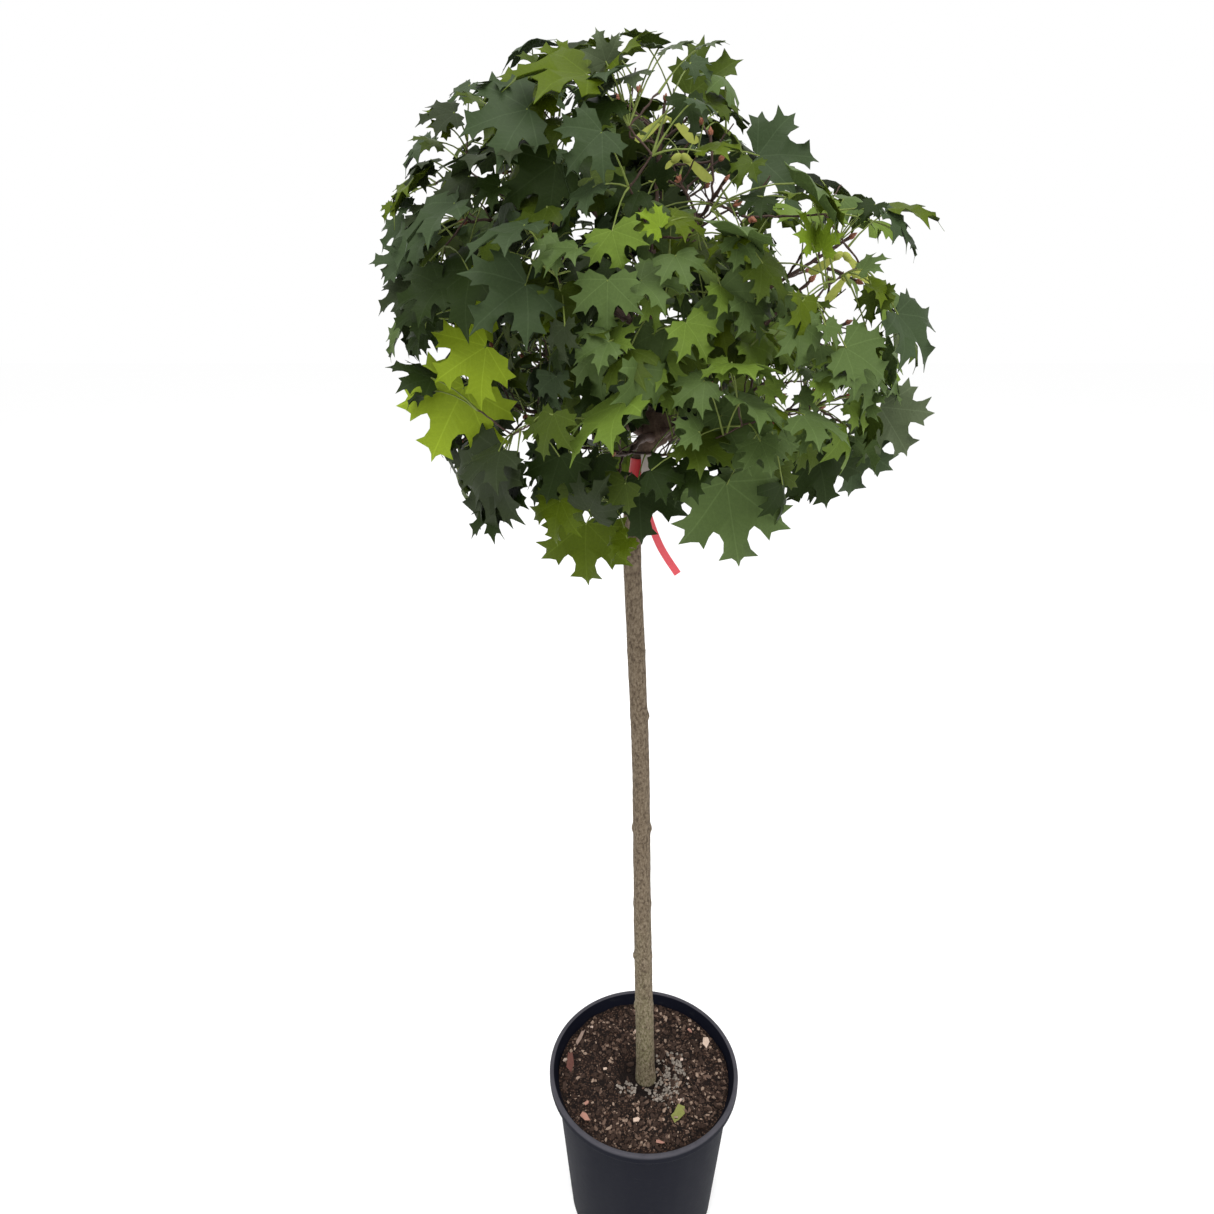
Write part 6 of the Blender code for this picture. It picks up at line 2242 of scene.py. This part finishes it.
@dataclass
class Label:
    """A plain strip looped round the trunk, its pale reverse beside it, and its end hanging free."""

    trunk: Trunk
    low: float = 1.331
    height: float = 0.033
    thickness: float = 0.0008
    room: float = 0.0012
    segments: int = 48
    tail_width: float = 0.0095
    back_width: float = 0.0125
    tail_shift: float = 0.006
    tail_run: tuple[Triple, ...] = (
        (0.0, 0.0, 0.0), (0.004, -0.006, -0.040), (0.022, -0.012, -0.090), (0.047, -0.013, -0.130))
    tail_rings: int = 28
    facing: Triple = (0.15, -1.0, 0.0)

    @property
    def inner(self) -> float:
        """Return the loop's inner radius."""
        return self.trunk.stations[-1][2] + self.room

    def band(self) -> Mesh:
        """Return the loop round the trunk."""
        shares = ramp(0.0, 1.0, 5)
        rows = [(share, 0.0) for share in shares] + [(share, self.thickness) for share in shares[::-1]]
        verts = []
        for share, out in rows:
            height = self.low + self.height * share
            centre = Vector((self.trunk.along(height)[0], 0.0, height))
            radius = self.inner - 0.0004 * math.sin(math.pi * share) + out
            verts += [centre + spoke * radius for spoke in unit_ring(UP, self.segments)]
        return verts, ring_faces(0, len(rows), self.segments, True)

    def strip(self, points: Sequence[Vector], width: float) -> Mesh:
        """Return a flat strip along points, facing forwards."""
        verts, last = [], len(points) - 1
        for number, point in enumerate(points):
            along = (points[min(number + 1, last)] - points[max(number - 1, 0)]).normalized()
            across = along.cross(Vector(self.facing)).normalized() * width / 2
            through = across.cross(along).normalized() * self.thickness / 2
            verts += [point - across - through, point + across - through,
                      point + across + through, point - across + through]
        return verts, [(3, 2, 1, 0), tuple(range(4 * last, 4 * last + 4))] + ring_faces(0, last + 1, 4)

    def build(self, red: Material, pink: Material, pale: Material) -> list[Object]:
        """Build the loop, the hanging end and the pale reverse."""
        x, depth = self.trunk.along(self.low)[0] + self.tail_shift, -self.inner - self.thickness * 1.2
        front = Vector((x, depth, self.low + self.height / 2))
        knots = [front + Vector(step) for step in self.tail_run]
        run = []
        for number in range(self.tail_rings):
            place = number / (self.tail_rings - 1) * (len(knots) - 1)
            first = min(int(place), len(knots) - 2)
            low, high = knots[first:first + 2]
            slopes = (high - knots[max(first - 1, 0)]) / 2, (knots[min(first + 2, len(knots) - 1)] - low) / 2
            run.append(flow(low, high, slopes, place - first))
        top = front + Vector((0.0035, -0.0012, 0.024))
        fall = [
            top + Vector((0.0015 * share, -0.0035 * math.sin(share * 2.4), -0.048 * share))
            for share in ramp(0.0, 1.0, 9)]
        return [
            shell("label_loop", self.band(), 50.0, red),
            shell("label_end", self.strip(run, self.tail_width), 50.0, pink),
            shell("label_reverse", self.strip(fall, self.back_width), 50.0, pale)]


@dataclass
class Studio:
    """The camera, the lights, the world and the floor. A light has a place, an aim, a size and a power."""

    lens: float = 24.0
    sensor: float = 36.0
    floor_side: float = 40.0
    lights: tuple[tuple[str, Triple, Triple, float, float], ...] = (
        ("sky_light", (-0.3, -1.3, 4.2), (0.0, 0.0, 1.5), 2.6, 115.0),
        ("right_light", (2.8, -2.2, 2.2), (0.0, 0.0, 1.5), 2.4, 70.0),
        ("left_light", (-2.6, -0.4, 1.2), (0.0, 0.0, 1.0), 1.4, 12.0),
        ("pot_light", (-1.6, -1.8, 1.4), (0.0, 0.0, 0.3), 1.2, 10.0))

    def build(self, finish: Material) -> None:
        """Build the studio, with the camera at the photograph's place, pitch and lens."""
        scene = bpy.context.scene
        camera = bpy.data.cameras.new("camera")
        camera.lens, camera.sensor_width, camera.clip_start = self.lens, self.sensor, 0.02
        scene.camera = linked("camera", camera)
        scene.camera.location = SIGHT.eye
        scene.camera.rotation_euler = Euler((math.pi / 2 - SIGHT.pitch, 0.0, 0.0))
        for name, place, aim, size, power in self.lights:
            lamp = bpy.data.lights.new(name, "AREA")
            lamp.size, lamp.energy = size, power
            light = linked(name, lamp)
            light.location = place
            light.rotation_euler = (Vector(aim) - Vector(place)).to_track_quat("-Z", "Y").to_euler()
        side = self.floor_side / 2
        corners = [(-side, -side, 0.0), (side, -side, 0.0), (side, side, 0.0), (-side, side, 0.0)]
        floor = plain("studio_floor", corners, [(0, 1, 2, 3)])
        floor.data.materials.append(finish)
        scene.world = bpy.data.worlds.new("studio")
        scene.world.use_nodes = True
        scene.world.node_tree.nodes["Background"].inputs["Color"].default_value = (1.0, 1.0, 1.0, 1.0)
        scene.view_settings.view_transform = "Standard"


def main() -> None:
    """Build every piece, from the camera and the pot up to the leaves."""
    logging.basicConfig(level=logging.INFO, format="%(message)s")
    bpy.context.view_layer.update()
    foliage_nodes = [name for name in frame["nodes"] if name.startswith("foliage_")]
    bough_nodes = [name for name in frame["nodes"] if name.startswith("bough_")]
    floor = TwoTone("floor", (0.985, 0.985, 0.985), (0.995, 0.995, 0.995), 2.0, 0.9, 0.0)
    Studio().build(floor.make())
    scatter = scatter_tree()

    pot = NurseryPot()
    settle(pot.build(PotFinish("pot_plastic").make()), ["pot"])
    compost = Compost(pot)
    ground = compost.build(CompostFinish("compost").make())
    settle(ground, ["soil"])
    for made in compost.strewn(ground, scatter):
        settle(made)

    trunk = Trunk()
    bark = trunk.build(BarkFinish("bark").make())
    settle(bark, ["trunk"])
    pore = TwoTone("pore", (0.090, 0.066, 0.044), (0.190, 0.150, 0.108), 500.0, 0.8)
    settle(trunk.pores(bark, scatter, pore.make()))
    shoot = ShootFinish("shoot").make()
    leader = Leader(trunk.head[-1][0] + GAP, trunk.head_x)
    settle(leader.build(shoot), ["leader"])

    red = TwoTone("label_red", (0.300, 0.006, 0.010), (0.400, 0.010, 0.014), 60.0, 0.45, 0.3)
    pink = TwoTone("label_end", (0.480, 0.055, 0.070), (0.600, 0.075, 0.090), 60.0, 0.45, 0.3)
    pale = TwoTone("label_reverse", (0.290, 0.250, 0.225), (0.380, 0.330, 0.300), 60.0, 0.55, 0.3)
    for made in Label(trunk).build(red.make(), pink.make(), pale.make()):
        settle(made, ["label"])

    crown = Crown(trunk, leader)
    crown.grow()
    kit = (crown, place_tree(), tube_tree())
    wood = Wood(*kit)
    bud = TwoTone("bud", (0.130, 0.040, 0.022), (0.280, 0.110, 0.060), 400.0, 0.5).make()
    stalk = TwoTone("stalk", (0.075, 0.100, 0.018), (0.160, 0.200, 0.045), 120.0, 0.5, 0.2).make()
    wing = TwoTone("winged_seed", (0.170, 0.195, 0.030), (0.290, 0.310, 0.070), 150.0, 0.5, 0.12).make()
    settle(wood.boughs(shoot), bough_nodes)
    green = [wood.twigs(shoot), wood.buds(bud), *Seeds(*kit).build(wing, stalk), *Foliage(*kit).build(stalk)]
    for made in green:
        settle(made, foliage_nodes)
    clear_patterns()


if __name__ == "__main__":
    main()
